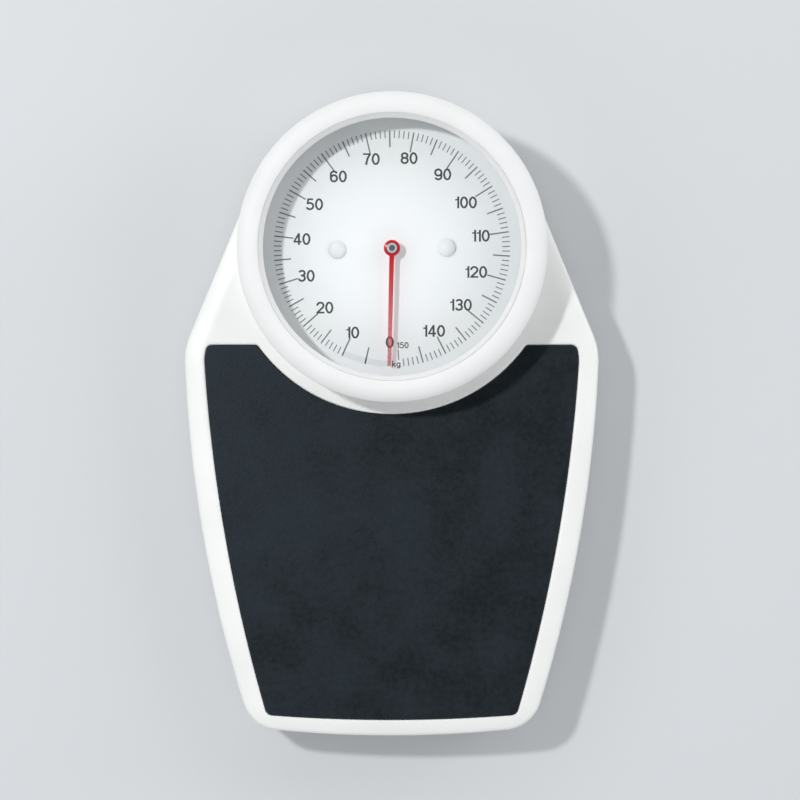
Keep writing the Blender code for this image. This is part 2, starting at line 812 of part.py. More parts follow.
def bearing_stirrup(name, place, roof):
    """An upside-down U under the cover whose two legs sit astride a lever's load pin."""
    x, y = place
    inner = long_lever_width / 2 + bracket_side_gap
    outer = inner + bracket_sheet
    top = roof - fit_gap
    under = top - bracket_sheet
    outline = [(x - outer, pin_height), (x - inner, pin_height), (x - inner, under), (x + inner, under),
               (x + inner, pin_height), (x + outer, pin_height), (x + outer, top), (x - outer, top)]
    stirrup = prism(name, outline, y - bracket_depth / 2, y + bracket_depth / 2, zinc_steel(), along="Y")
    reach = outer + overrun
    cut(stirrup, rod(name + "_notch", (x - reach, y, pin_height), (x + reach, y, pin_height),
                     pin_radius + pin_gap, zinc_steel(), tiny_steps))
    return stirrup


def channel_bar(name, start, end, width, height, wall, material):
    """A channel, open below, whose top middle line runs from start to end."""
    start, end = Vector(start), Vector(end)
    ahead = end - start
    side = Vector((ahead.y, -ahead.x, 0)).normalized()
    section = [(-width / 2, -height), (-width / 2, 0), (width / 2, 0), (width / 2, -height),
               (width / 2 - wall, -height), (width / 2 - wall, -wall), (wall - width / 2, -wall),
               (wall - width / 2, -height)]
    shape = bmesh.new()
    face = shape.faces.new([shape.verts.new(start + side * a + Vector((0, 0, b))) for a, b in section])
    pushed = bmesh.ops.extrude_face_region(shape, geom=[face])
    corners = [part for part in pushed["geom"] if isinstance(part, bmesh.types.BMVert)]
    bmesh.ops.translate(shape, verts=corners, vec=ahead)
    return solid(name, shape, material)


def long_line(y):
    """x of a long lever's middle line at y, on the right side."""
    share = (y - front_fulcrum[1]) / (nose_y - front_fulcrum[1])
    return front_fulcrum[0] + (nose_x - front_fulcrum[0]) * share


def long_top(y):
    """Height of a long lever's top at y."""
    share = (y - front_fulcrum[1]) / (nose_y - front_fulcrum[1])
    front_top = pin_height + long_lever_height / 2
    nose_top = nose_plate_top + nose_rest_gap + long_lever_height
    return front_top + (nose_top - front_top) * share


def short_line(y):
    """x of a short lever's middle line at y, on the right side."""
    share = (y - rear_fulcrum[1]) / (joint_y - rear_fulcrum[1])
    return rear_fulcrum[0] + (long_line(joint_y) - rear_fulcrum[0]) * share


def tongue_top():
    return long_top(joint_y) - long_lever_height - tongue_drop


def short_top(y):
    """Height of a short lever's top at y."""
    share = (y - rear_fulcrum[1]) / (joint_y - rear_fulcrum[1])
    rear_top = pin_height + short_lever_height / 2
    return rear_top + (tongue_top() - rear_top) * share


def lever(name, side, line, top, first_y, last_y, width, height, pin_places):
    start = (side * line(first_y), first_y, top(first_y))
    end = (side * line(last_y), last_y, top(last_y))
    bar = channel_bar(name, start, end, width, height, lever_wall, zinc_steel())
    reach = long_lever_width / 2 + bracket_side_gap + bracket_sheet + pin_gap
    for i, y in enumerate(pin_places):
        x = side * line(y)
        join(bar, rod(f"{name}_pin_{i}", (x - reach, y, pin_height), (x + reach, y, pin_height),
                      pin_radius, zinc_steel(), tiny_steps))
    return bar


def long_lever(name, side):
    first = front_fulcrum[1] - lever_tail
    return lever(name, side, long_line, long_top, first, nose_y + nose_reach, long_lever_width,
                 long_lever_height, (front_fulcrum[1], front_fulcrum[1] + lever_offset))


def short_lever(name, side):
    first = rear_fulcrum[1] + lever_tail
    return lever(name, side, short_line, short_top, first, joint_y - tongue_reach, short_lever_width,
                 short_lever_height, (rear_fulcrum[1], rear_fulcrum[1] - lever_offset))


def lever_link(name, side):
    """A stirrup hung over the long lever that carries the short lever's tongue."""
    x = side * long_line(joint_y)
    half = long_lever_width / 2 + link_side_gap
    low = tongue_top() - short_lever_height - link_gap
    high = long_top(joint_y) + link_gap
    outer = box_outline(x - half - link_wire, x + half + link_wire, low - link_wire, high + link_wire)
    link = prism(name, outer, joint_y - link_wire / 2, joint_y + link_wire / 2, zinc_steel(), along="Y")
    cut(link, prism(name + "_eye", box_outline(x - half, x + half, low, high),
                    joint_y - link_wire, joint_y + link_wire, zinc_steel(), along="Y"))
    return link


def nose_plate():
    """Plate that both long levers press on, with a round lobe under the main spring."""
    front = spring_y - nose_plate_front
    rear = spring_y - nose_plate_rear
    lobe = spring_y + nose_lobe_rear
    half = nose_lobe_half_x
    outline = [(-nose_plate_half_x, front), (nose_plate_half_x, front), (nose_plate_half_x, rear), (half, rear),
               (half / 2, lobe), (-half / 2, lobe), (-half, rear), (-nose_plate_half_x, rear)]
    plate = prism("nose_plate", outline, nose_plate_low, nose_plate_top, zinc_steel())
    cut(plate, rod("nose_plate_bore", (0, spring_y, nose_plate_low - overrun), (0, spring_y, nose_plate_top + overrun),
                   screw_radius + 2 * pin_gap, zinc_steel(), tiny_steps))
    return plate


def coil(name, path, wire, material):
    """A wire along a path of points."""
    curve = bpy.data.curves.new(name, "CURVE")
    curve.dimensions = "3D"
    curve.bevel_depth = wire
    curve.bevel_resolution = 1
    curve.use_fill_caps = True
    line = curve.splines.new("POLY")
    line.points.add(len(path) - 1)
    for point, place in zip(line.points, path):
        point.co = (*place, 1)
    item = make_object(name, curve, material)
    return item


def upright_helix(place, radius, low, high, turns):
    count = round(turns * spring_steps)
    return [
        (place[0] + radius * math.cos(2 * math.pi * i / spring_steps),
         place[1] + radius * math.sin(2 * math.pi * i / spring_steps), low + (high - low) * i / count)
        for i in range(count + 1)
    ]


def main_spring():
    low = nose_plate_top + fit_gap + main_spring_wire
    high = hanger_low - fit_gap - main_spring_wire
    path = upright_helix((0, spring_y), main_spring_radius, low, high, main_spring_turns)
    return coil("main_spring", path, main_spring_wire, spring_steel())


def retaining_spring(name, side):
    low = seat + retainer_wire
    high = rim_top - recess_depth - cover_wall - fit_gap - retainer_wire
    path = upright_helix((side * retainer_x, retainer_y), retainer_radius, low, high, retainer_turns)
    return coil(name, path, retainer_wire, spring_steel())


def spring_hanger():
    half_x = gantry_half_x - gantry_sheet - fit_gap
    bar = prism("spring_hanger", box_outline(-half_x, half_x, spring_y - hanger_half_y, spring_y + hanger_half_y),
                hanger_low, hanger_low + hanger_thickness, zinc_steel())
    cut(bar, rod("hanger_bore", (0, spring_y, hanger_low - overrun),
                 (0, spring_y, hanger_low + hanger_thickness + overrun), screw_radius + pin_gap,
                 zinc_steel(), tiny_steps))
    return bar


def spring_gantry():
    """Bridge over the nose plate that takes the main spring's pull."""
    outer = gantry_half_x
    inner = outer - gantry_sheet
    toe = outer + gantry_flange
    floor = seat + gantry_sheet
    under = gantry_top - gantry_sheet
    outline = [(toe, seat), (toe, floor), (outer, floor), (outer, gantry_top), (-outer, gantry_top),
               (-outer, floor), (-toe, floor), (-toe, seat), (-inner, seat), (-inner, under), (inner, under),
               (inner, seat)]
    bridge = prism("spring_gantry", outline, spring_y - gantry_front, spring_y + gantry_rear, zinc_steel(), along="Y")
    cut(bridge, rod("gantry_bore", (0, spring_y, under - overrun), (0, spring_y, gantry_top + overrun),
                    screw_radius + pin_gap, zinc_steel(), tiny_steps))
    return bridge


def zero_screw():
    head_low = gantry_top + fit_gap
    head_top = head_low + screw_head_height
    profile = [(0, seat), (screw_radius, seat), (screw_radius, head_low), (screw_head_radius, head_low),
               (screw_head_radius, head_top), (0, head_top)]
    return turned("zero_screw", profile, zinc_steel(), small_steps, (0, spring_y), closed=False)


def thumb_wheel():
    outline = []
    for i in range(2 * wheel_ridges):
        reach = wheel_radius - ridge_depth * (i % 2)
        turn = math.pi * i / wheel_ridges
        outline.append((reach * math.cos(turn), spring_y + reach * math.sin(turn)))
    low = base_floor + wheel_lift
    wheel = prism("thumb_wheel", outline, low, low + wheel_thickness, grey_plastic())
    cut(wheel, rod("wheel_bore", (0, spring_y, low - overrun), (0, spring_y, low + wheel_thickness + overrun),
                   screw_radius + pin_gap, grey_plastic(), small_steps))
    return wheel


def bell_crank():
    """Right-angled lever: the short arm rides on the nose plate, the long arm draws the rack."""
    short_turn = crank_swing / 2
    long_turn = short_turn + math.pi / 2
    spread = math.asin(crank_arm_half / crank_eye_radius)
    wrap = math.pi - math.asin(crank_arm_half / crank_tip_radius)
    start = (crank_y, crank_z)
    short_end = (crank_y + crank_short_arm * math.cos(short_turn), crank_z + crank_short_arm * math.sin(short_turn))
    long_end = (rack_pin_y, rack_pin_z)
    outline = arc(short_end, crank_tip_radius, short_turn - wrap, short_turn + wrap, 12)
    outline += arc(start, crank_eye_radius, short_turn + spread, long_turn - spread, 3)
    outline += arc(long_end, crank_tip_radius, long_turn - wrap, long_turn + wrap, 12)
    outline += arc(start, crank_eye_radius, long_turn + spread, short_turn - spread + 2 * math.pi, 14)
    low_x = crank_x - crank_thickness / 2
    high_x = crank_x + crank_thickness / 2
    crank = prism("bell_crank", outline, low_x, high_x, zinc_steel(), along="X")
    join(crank, rod("crank_rack_pin", (crank_x, *long_end), (rack_root_x + rack_pin_reach, *long_end),
                    rack_pin_radius, zinc_steel(), tiny_steps))
    cut(crank, rod("crank_bore", (low_x - overrun, *start), (high_x + overrun, *start),
                   crank_pin_radius + pin_gap, zinc_steel(), tiny_steps))
    return crank


def crank_ears():
    """x of the crank bracket's faces: left outside, left inside, right inside, right outside."""
    left = crank_x - crank_thickness / 2 - crank_ear_gap
    right = crank_x + crank_thickness / 2 + crank_spring_room
    return left - crank_ear, left, right, right + crank_ear


def crank_bracket():
    outside_left, left, right, outside_right = crank_ears()
    top = crank_z + crank_bracket_crest
    floor = seat + crank_ear
    outline = [(outside_left, seat), (outside_right, seat), (outside_right, top), (right, top), (right, floor),
               (left, floor), (left, top), (outside_left, top)]
    bracket = prism("crank_bracket", outline, crank_y - crank_bracket_half_y, crank_y + crank_bracket_half_y,
                    zinc_steel(), along="Y")
    cut(bracket, rod("crank_bracket_bore", (outside_left - overrun, crank_y, crank_z),
                     (outside_right + overrun, crank_y, crank_z), crank_pin_radius + pin_gap, zinc_steel(), tiny_steps))
    return bracket


def crank_pin():
    outside_left, _, _, outside_right = crank_ears()
    return rod("crank_pin", (outside_left - pin_gap, crank_y, crank_z), (outside_right + pin_gap, crank_y, crank_z),
               crank_pin_radius, zinc_steel(), tiny_steps)


def crank_spring():
    """Torsion spring round the crank's pin, which keeps the short arm on the nose plate."""
    low = crank_x + crank_thickness / 2 + crank_spring_wire + fit_gap
    high = crank_ears()[2] - crank_spring_wire - fit_gap
    count = crank_spring_turns * spring_steps
    path = [
        (low + (high - low) * i / count,
         crank_y + crank_spring_radius * math.cos(2 * math.pi * i / spring_steps),
         crank_z + crank_spring_radius * math.sin(2 * math.pi * i / spring_steps))
        for i in range(count + 1)
    ]
    leg_end = (high, crank_y + crank_spring_radius, seat + crank_ear + fit_gap + crank_spring_wire)
    return coil("crank_spring", path + [leg_end], crank_spring_wire, spring_steel())


def build_base():
    base_plate()
    for row, (x, y) in foot_places.items():
        rubber_foot(f"foot_{row}_left", (-x, y))
        rubber_foot(f"foot_{row}_right", (x, y))
    for row, (x, y) in (("front", front_fulcrum), ("rear", rear_fulcrum)):
        fulcrum_bracket(f"fulcrum_bracket_{row}_left", (-x, y))
        fulcrum_bracket(f"fulcrum_bracket_{row}_right", (x, y))
    spring_gantry()
    crank_bracket()
    crank_pin()
    crank_spring()


def build_movement():
    movement_plate("lower_movement_plate", lower_plate_low, lower_plate_half_x, lower_plate_half_y)
    movement_plate("upper_movement_plate", upper_plate_low, upper_plate_half_x, upper_plate_half_y)
    for row, y in (("front", tower_y - column_y), ("rear", tower_y + column_y)):
        movement_column(f"column_{row}_left", -column_x, y)
        movement_column(f"column_{row}_right", column_x, y)
    for row, y in (("front", tower_y - spacer_y), ("rear", tower_y + spacer_y)):
        rack_spool(f"rack_spool_{row}", y)
        plate_spacer(f"plate_spacer_{row}", y)
    dial_face()
    for side, place in stud_places().items():
        dial_stud(side, place)


def build_platform():
    pieces = [platform_cover(), tread_mat(), bezel_ring(), dial_window()]
    front_load = front_fulcrum[1] + lever_offset
    rear_load = rear_fulcrum[1] - lever_offset
    front_roof = rim_top - recess_depth - cover_wall
    rear_roof = rim_top - cover_wall
    for side, sign in (("left", -1), ("right", 1)):
        pieces.append(bearing_stirrup(f"bearing_front_{side}", (sign * long_line(front_load), front_load), front_roof))
        pieces.append(bearing_stirrup(f"bearing_rear_{side}", (sign * short_line(rear_load), rear_load), rear_roof))
        retaining_spring(f"retaining_spring_{side}", sign)
    pivot("platform_travel", (0, 0, rim_top), pieces)


def build_levers():
    for side, sign in (("left", -1), ("right", 1)):
        long_bar = long_lever(f"long_lever_{side}", sign)
        pivot(f"long_lever_{side}_pivot", (sign * front_fulcrum[0], front_fulcrum[1], pin_height), [long_bar])
        short_bar = short_lever(f"short_lever_{side}", sign)
        pivot(f"short_lever_{side}_pivot", (sign * rear_fulcrum[0], rear_fulcrum[1], pin_height), [short_bar])
        link = lever_link(f"lever_link_{side}", sign)
        pivot(f"lever_link_{side}_slide", (sign * long_line(joint_y), joint_y, long_top(joint_y)), [link])


def build_spring_works():
    pivot("nose_plate_slide", (0, spring_y, nose_plate_low), [nose_plate()])
    pivot("hanger_slide", (0, spring_y, hanger_low), [spring_hanger(), main_spring()])
    pivot("zero_wheel_axis", (0, spring_y, base_floor), [zero_screw(), thumb_wheel()])
    pivot("crank_axis", (crank_x, crank_y, crank_z), [bell_crank()])
    pivot("rack_slide", (rack_root_x, rack_pin_y, rack_low), [rack()])
    pivot("pointer_axis", (0, tower_y, dial_top), [pointer(), pointer_hub(), pointer_arbor(), pinion()])


clear_scene()
build_base()
build_movement()
build_platform()
build_levers()
build_spring_works()
print(f"front fulcrum {front_fulcrum}, rear fulcrum {rear_fulcrum}, feet {foot_places}")
print(f"wing angle {math.degrees(wing_angle):.3f}, mat top {mat_top_y:.5f}")
print(f"platform travel {platform_travel:.6f}, nose drop {nose_drop:.6f}, rack travel {rack_travel:.6f}")
print(f"lever angle {math.degrees(lever_angle):.4f}, pointer sweep {math.degrees(pointer_sweep):.2f}")
print(f"crank axis y {crank_y:.6f} z {crank_z:.6f}, rack pin y {rack_pin_y:.6f} z {rack_pin_z:.6f}")
print(f"spring y {spring_y:.6f}, tower y {tower_y:.6f}, link drop {(joint_y - front_fulcrum[1]) * lever_angle:.6f}")
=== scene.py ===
import math

import bmesh
import bpy
from mathutils import Matrix, Vector


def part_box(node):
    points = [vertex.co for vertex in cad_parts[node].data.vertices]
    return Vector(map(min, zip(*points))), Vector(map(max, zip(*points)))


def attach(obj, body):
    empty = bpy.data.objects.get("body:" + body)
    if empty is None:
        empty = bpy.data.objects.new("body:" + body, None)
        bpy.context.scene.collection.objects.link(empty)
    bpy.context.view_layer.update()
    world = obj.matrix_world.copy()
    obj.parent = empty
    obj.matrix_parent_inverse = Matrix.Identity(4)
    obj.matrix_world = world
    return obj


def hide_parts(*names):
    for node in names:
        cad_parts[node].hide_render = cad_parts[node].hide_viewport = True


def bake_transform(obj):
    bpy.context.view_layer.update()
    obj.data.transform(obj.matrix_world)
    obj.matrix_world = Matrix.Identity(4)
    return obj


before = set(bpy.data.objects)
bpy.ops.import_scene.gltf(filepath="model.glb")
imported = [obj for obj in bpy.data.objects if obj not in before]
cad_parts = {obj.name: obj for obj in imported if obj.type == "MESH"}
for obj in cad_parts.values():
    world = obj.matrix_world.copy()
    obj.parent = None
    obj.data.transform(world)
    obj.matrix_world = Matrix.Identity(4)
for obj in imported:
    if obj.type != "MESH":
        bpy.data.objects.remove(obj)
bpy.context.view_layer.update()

scene = bpy.context.scene

# The shapes are drawn in millimetres and brought to metres when a piece is finished.
mm = 0.001
halfTurn = math.pi
quarterTurn = math.pi / 2

layout = dict(
    width=310.0, depth=479.5, height=112.0,
    towerRadius=115.1, wingRadius=51.2, wingDrop=0.727, sideRadius=997.0,
    cornerRadius=28.8, cornerX=83.7, cornerSetback=32.9,
    rimTop=67.0, drumTop=98.0, drumRadius=113.2, dialTop=75.0,
    dialTurn=1.1, zeroOffset=2.4, sweep=355.2, capacity=150,
)
frontY = -layout["depth"] / 2
towerY = layout["depth"] / 2 - layout["towerRadius"]
wing = Vector((layout["width"] / 2 - layout["wingRadius"], towerY - layout["towerRadius"] * layout["wingDrop"]))
tower = Vector((0, towerY))
wingSpan = math.hypot(wing.x, towerY - wing.y)
wingAngle = math.atan2(towerY - wing.y, -wing.x) - math.acos(
    (layout["wingRadius"] - layout["towerRadius"]) / wingSpan
)
zeroTurn = -quarterTurn - math.radians(layout["zeroOffset"] - layout["dialTurn"])


def hexColour(code, alpha=1.0):
    parts = [int(code[i:i + 2], 16) / 255 for i in (1, 3, 5)]
    return (*[c / 12.92 if c <= 0.04045 else ((c + 0.055) / 1.055) ** 2.4 for c in parts], alpha)


def addNode(tree, kind, settings, give=0):
    # one node: each setting is a fixed value or the socket that feeds it
    node = tree.nodes.new("ShaderNode" + kind)
    for key, value in settings.items():
        if isinstance(value, bpy.types.NodeSocket):
            tree.links.new(value, node.inputs[key])
        elif isinstance(key, str) and hasattr(node, key):
            setattr(node, key, value)
        else:
            node.inputs[key].default_value = value
    return node.outputs[give] if node.outputs else node


def newMaterial(name):
    material = bpy.data.materials.new(name)
    material.use_nodes = True
    tree = material.node_tree
    tree.nodes.clear()
    return material, tree, addNode(tree, "TexCoord", {}, "Object")


def perSize(size):
    # a pattern scale whose features are about size millimetres across
    return 1.0 / (size * mm)


def enamelledSteel():
    # Sheet steel pressed to shape and stove-enamelled by spray: an even warm white with a soft
    # gloss, a faint orange peel about 2 mm across, and hardly visible clouds in the coat.
    material, tree, place = newMaterial("stoveEnamelledSteel")
    clouds = addNode(tree, "TexNoise", {"Vector": place, "Scale": perSize(45), "Detail": 2.0})
    spread = addNode(tree, "MapRange", {"Value": clouds, "From Min": 0.35, "From Max": 0.65})
    colour = addNode(
        tree, "Mix", {"data_type": "RGBA", 0: spread, 6: hexColour("#F0F1EF"), 7: hexColour("#F4F5F3")}, 2
    )
    handling = addNode(tree, "TexNoise", {"Vector": place, "Scale": perSize(9), "Detail": 3.0})
    rough = addNode(
        tree, "MapRange", {"Value": handling, "From Min": 0.3, "From Max": 0.7, "To Min": 0.40, "To Max": 0.48}
    )
    peel = addNode(tree, "TexNoise", {"Vector": place, "Scale": perSize(2), "Detail": 2.0})
    bumps = addNode(tree, "Bump", {"Height": peel, "Distance": 0.012 * mm})
    shader = addNode(
        tree, "BsdfPrincipled",
        {"Base Color": colour, "Roughness": rough, "Normal": bumps, "IOR": 1.52, "Coat Weight": 0.12,
         "Coat Roughness": 0.2},
    )
    addNode(tree, "OutputMaterial", {"Surface": shader})
    return material


def mouldedAbs():
    # ABS, injection moulded in a vapour-blasted tool: a plain white, satin, with the slight
    # waviness of a thick moulding and a fine grain that spreads the highlights.
    material, tree, place = newMaterial("mouldedWhiteAbs")
    wave = addNode(tree, "TexNoise", {"Vector": place, "Scale": perSize(24), "Detail": 1.0})
    spread = addNode(tree, "MapRange", {"Value": wave, "From Min": 0.3, "From Max": 0.7})
    colour = addNode(
        tree, "Mix", {"data_type": "RGBA", 0: spread, 6: hexColour("#E9EAE9"), 7: hexColour("#ECEDEC")}, 2
    )
    spark = addNode(tree, "TexNoise", {"Vector": place, "Scale": perSize(0.7), "Detail": 2.0})
    rough = addNode(
        tree, "MapRange", {"Value": spark, "From Min": 0.3, "From Max": 0.7, "To Min": 0.54, "To Max": 0.62}
    )
    broad = addNode(tree, "Bump", {"Height": wave, "Distance": 0.05 * mm})
    bumps = addNode(tree, "Bump", {"Height": spark, "Distance": 0.004 * mm, "Normal": broad})
    shader = addNode(tree, "BsdfPrincipled", {"Base Color": colour, "Roughness": rough, "Normal": bumps, "IOR": 1.53})
    addNode(tree, "OutputMaterial", {"Surface": shader})
    return material


def mouldedRubberMat():
    # Natural rubber sheet, vulcanised against a grained plate: near black with a blue-grey cast and
    # a wide dull sheen towards the light, a pebble grain of about 1.3 mm, and a dusty bloom that
    # lies in soft patches a few centimetres across.
    material, tree, place = newMaterial("grainedBlackRubber")
    bloom = addNode(tree, "TexNoise", {"Vector": place, "Scale": perSize(45), "Detail": 3.0, "Roughness": 0.55})
    patches = addNode(tree, "MapRange", {"Value": bloom, "From Min": 0.36, "From Max": 0.64})
    ground = addNode(
        tree, "Mix", {"data_type": "RGBA", 0: patches, 6: hexColour("#060A0D"), 7: hexColour("#0C1216")}, 2
    )
    grain = addNode(tree, "TexNoise", {"Vector": place, "Scale": perSize(4.2), "Detail": 3.0, "Roughness": 0.55})
    speck = addNode(
        tree, "MapRange", {"Value": grain, "From Min": 0.3, "From Max": 0.7, "To Min": 0.68, "To Max": 1.3}
    )
    colour = addNode(
        tree, "Mix", {"data_type": "RGBA", "blend_type": "MULTIPLY", 0: 1.0, 6: ground, 7: speck}, 2
    )
    dull = addNode(
        tree, "MapRange", {"Value": bloom, "From Min": 0.36, "From Max": 0.64, "To Min": 0.44, "To Max": 0.54}
    )
    spots = addNode(
        tree, "MapRange", {"Value": grain, "From Min": 0.32, "From Max": 0.68, "To Min": -0.035, "To Max": 0.04}
    )
    rough = addNode(tree, "Math", {"operation": "ADD", 0: dull, 1: spots})
    pebbles = addNode(
        tree, "TexVoronoi", {"feature": "SMOOTH_F1", "Vector": place, "Scale": perSize(1.3), "Smoothness": 0.6},
        "Distance",
    )
    coarse = addNode(tree, "Bump", {"Height": grain, "Distance": 0.10 * mm, "Strength": 0.45})
    bumps = addNode(tree, "Bump", {"Height": pebbles, "Distance": 0.15 * mm, "Strength": 0.35, "Normal": coarse})
    shader = addNode(
        tree, "BsdfPrincipled",
        {"Base Color": colour, "Roughness": rough, "Normal": bumps, "IOR": 1.5,
         "Specular Tint": hexColour("#DAEFFF")},
    )
    addNode(tree, "OutputMaterial", {"Surface": shader})
    return material


def mouldedRubberFoot():
    # Carbon-black rubber, compression moulded: matt, slightly dusty, with a fine flow grain.
    material, tree, place = newMaterial("mouldedBlackRubber")
    dust = addNode(tree, "TexNoise", {"Vector": place, "Scale": perSize(6), "Detail": 4.0})
    spread = addNode(tree, "MapRange", {"Value": dust, "From Min": 0.35, "From Max": 0.7})
    colour = addNode(
        tree, "Mix", {"data_type": "RGBA", 0: spread, 6: hexColour("#1D2022"), 7: hexColour("#2B2E30")}, 2
    )
    rough = addNode(tree, "MapRange", {"Value": spread, "To Min": 0.62, "To Max": 0.8})
    grain = addNode(tree, "TexNoise", {"Vector": place, "Scale": perSize(0.5), "Detail": 2.0})
    bumps = addNode(tree, "Bump", {"Height": grain, "Distance": 0.03 * mm})
    shader = addNode(
        tree, "BsdfPrincipled",
        {"Base Color": colour, "Roughness": rough, "Normal": bumps, "IOR": 1.5, "Specular IOR Level": 0.3},
    )
    addNode(tree, "OutputMaterial", {"Surface": shader})
    return material


def clearAcrylic():
    # Cast acrylic sheet: what lies behind shows through, and only its polished outer face mirrors.
    material, tree, place = newMaterial("clearAcrylicSheet")
    smears = addNode(tree, "TexNoise", {"Vector": place, "Scale": perSize(30), "Detail": 3.0})
    rough = addNode(
        tree, "MapRange", {"Value": smears, "From Min": 0.3, "From Max": 0.7, "To Min": 0.03, "To Max": 0.07}
    )
    mirror = addNode(
        tree, "BsdfPrincipled",
        {"Base Color": hexColour("#FFFFFF"), "Metallic": 1.0, "Roughness": rough},
    )
    clear = addNode(tree, "BsdfTransparent", {"Color": hexColour("#FEFFFF")})
    edge = addNode(tree, "Fresnel", {"IOR": 1.49})
    behind = addNode(tree, "NewGeometry", {}, "Backfacing")
    front = addNode(tree, "Math", {"operation": "SUBTRACT", 0: 1.0, 1: behind})
    share = addNode(tree, "Math", {"operation": "MULTIPLY", 0: edge, 1: front})
    sheet = addNode(tree, "MixShader", {0: share, 1: clear, 2: mirror})
    addNode(tree, "OutputMaterial", {"Surface": sheet})
    return material


def paintedDial():
    # Aluminium disc, roller-coated satin white: flat and even, with a barely seen roller stipple.
    material, tree, place = newMaterial("rollerCoatedDialPlate")
    clouds = addNode(tree, "TexNoise", {"Vector": place, "Scale": perSize(60), "Detail": 2.0})
    spread = addNode(tree, "MapRange", {"Value": clouds, "From Min": 0.3, "From Max": 0.7})
    colour = addNode(
        tree, "Mix", {"data_type": "RGBA", 0: spread, 6: hexColour("#FCFCFD"), 7: hexColour("#FEFEFE")}, 2
    )
    stipple = addNode(tree, "TexNoise", {"Vector": place, "Scale": perSize(0.9), "Detail": 2.0})
    rough = addNode(
        tree, "MapRange", {"Value": stipple, "From Min": 0.3, "From Max": 0.7, "To Min": 0.42, "To Max": 0.52}
    )
    bumps = addNode(tree, "Bump", {"Height": stipple, "Distance": 0.006 * mm})
    shader = addNode(tree, "BsdfPrincipled", {"Base Color": colour, "Roughness": rough, "Normal": bumps, "IOR": 1.5})
    addNode(tree, "OutputMaterial", {"Surface": shader})
    return material


def screenInk(name, deep, thin):
    # Screen-printed ink: satin, with pinholes where the mesh laid it thinner. The same finish also colours the faint
    # grey band along the start of the scale.
    material, tree, place = newMaterial(name)
    weave = addNode(tree, "TexNoise", {"Vector": place, "Scale": perSize(0.5), "Detail": 3.0})
    spread = addNode(tree, "MapRange", {"Value": weave, "From Min": 0.4, "From Max": 0.75})
    colour = addNode(tree, "Mix", {"data_type": "RGBA", 0: spread, 6: hexColour(deep), 7: hexColour(thin)}, 2)
    rough = addNode(tree, "MapRange", {"Value": spread, "To Min": 0.45, "To Max": 0.6})
    shader = addNode(tree, "BsdfPrincipled", {"Base Color": colour, "Roughness": rough, "IOR": 1.48})
    addNode(tree, "OutputMaterial", {"Surface": shader})
    return material


def dyedAcrylic():
    # Red-dyed acrylic, moulded in a thin blade: glossy, full red at the root, and paler and more
    # see-through towards the tip, where the print under it shows.
    material, tree, place = newMaterial("dyedRedAcrylic")
    reach = addNode(
        tree, "VectorMath", {"operation": "DISTANCE", 0: place, 1: (0, towerY * mm, 84 * mm)}, "Value"
    )
    along = addNode(tree, "MapRange", {"Value": reach, "From Min": 8 * mm, "From Max": 76 * mm})
    streaks = addNode(tree, "TexNoise", {"Vector": place, "Scale": perSize(5), "Detail": 2.0})
    root = addNode(tree, "Mix", {"data_type": "RGBA", 0: streaks, 6: hexColour("#C6222B"), 7: hexColour("#D43038")}, 2)
    colour = addNode(tree, "Mix", {"data_type": "RGBA", 0: along, 6: root, 7: hexColour("#E4666A")}, 2)
    rough = addNode(tree, "MapRange", {"Value": streaks, "To Min": 0.16, "To Max": 0.3})
    body = addNode(tree, "BsdfPrincipled", {"Base Color": colour, "Roughness": rough, "IOR": 1.49})
    tint = addNode(tree, "BsdfTransparent", {"Color": hexColour("#F3DCDC")})
    share = addNode(tree, "MapRange", {"Value": along, "To Min": 0.94, "To Max": 0.3})
    blade = addNode(tree, "MixShader", {0: share, 1: tint, 2: body})
    addNode(tree, "OutputMaterial", {"Surface": blade})
    return material


def mouldedPlastic(name, first, second, satin):
    # Acetal or ABS from a spark-eroded tool, and the grey drum lining that stands in for shade: satin, with a fine even
    # grain.
    material, tree, place = newMaterial(name)
    flow = addNode(tree, "TexNoise", {"Vector": place, "Scale": perSize(8), "Detail": 2.0})
    spread = addNode(tree, "MapRange", {"Value": flow, "From Min": 0.3, "From Max": 0.7})
    colour = addNode(tree, "Mix", {"data_type": "RGBA", 0: spread, 6: hexColour(first), 7: hexColour(second)}, 2)
    spark = addNode(tree, "TexNoise", {"Vector": place, "Scale": perSize(0.35), "Detail": 2.0})
    rough = addNode(
        tree, "MapRange",
        {"Value": spark, "From Min": 0.3, "From Max": 0.7, "To Min": satin - 0.05, "To Max": satin + 0.07},
    )
    bumps = addNode(tree, "Bump", {"Height": spark, "Distance": 0.02 * mm})
    shader = addNode(tree, "BsdfPrincipled", {"Base Color": colour, "Roughness": rough, "Normal": bumps, "IOR": 1.48})
    addNode(tree, "OutputMaterial", {"Surface": shader})
    return material


def platedSteel():
    # Pressed steel, bright zinc plated: a blue-white metal with rolling marks along the sheet and
    # cloudy passivation patches.
    material, tree, place = newMaterial("zincPlatedSteel")
    along = addNode(tree, "Mapping", {"Vector": place, "Scale": (1.0, 0.06, 1.0)})
    rolled = addNode(tree, "TexNoise", {"Vector": along, "Scale": perSize(0.5), "Detail": 3.0})
    patches = addNode(tree, "TexNoise", {"Vector": place, "Scale": perSize(12), "Detail": 3.0})
    spread = addNode(tree, "MapRange", {"Value": patches, "From Min": 0.35, "From Max": 0.65})
    colour = addNode(
        tree, "Mix", {"data_type": "RGBA", 0: spread, 6: hexColour("#B6BBC0"), 7: hexColour("#C9CBC8")}, 2
    )
    rough = addNode(
        tree, "MapRange", {"Value": rolled, "From Min": 0.3, "From Max": 0.7, "To Min": 0.28, "To Max": 0.44}
    )
    bumps = addNode(tree, "Bump", {"Height": rolled, "Distance": 0.01 * mm})
    shader = addNode(
        tree, "BsdfPrincipled", {"Base Color": colour, "Roughness": rough, "Normal": bumps, "Metallic": 1.0}
    )
    addNode(tree, "OutputMaterial", {"Surface": shader})
    return material


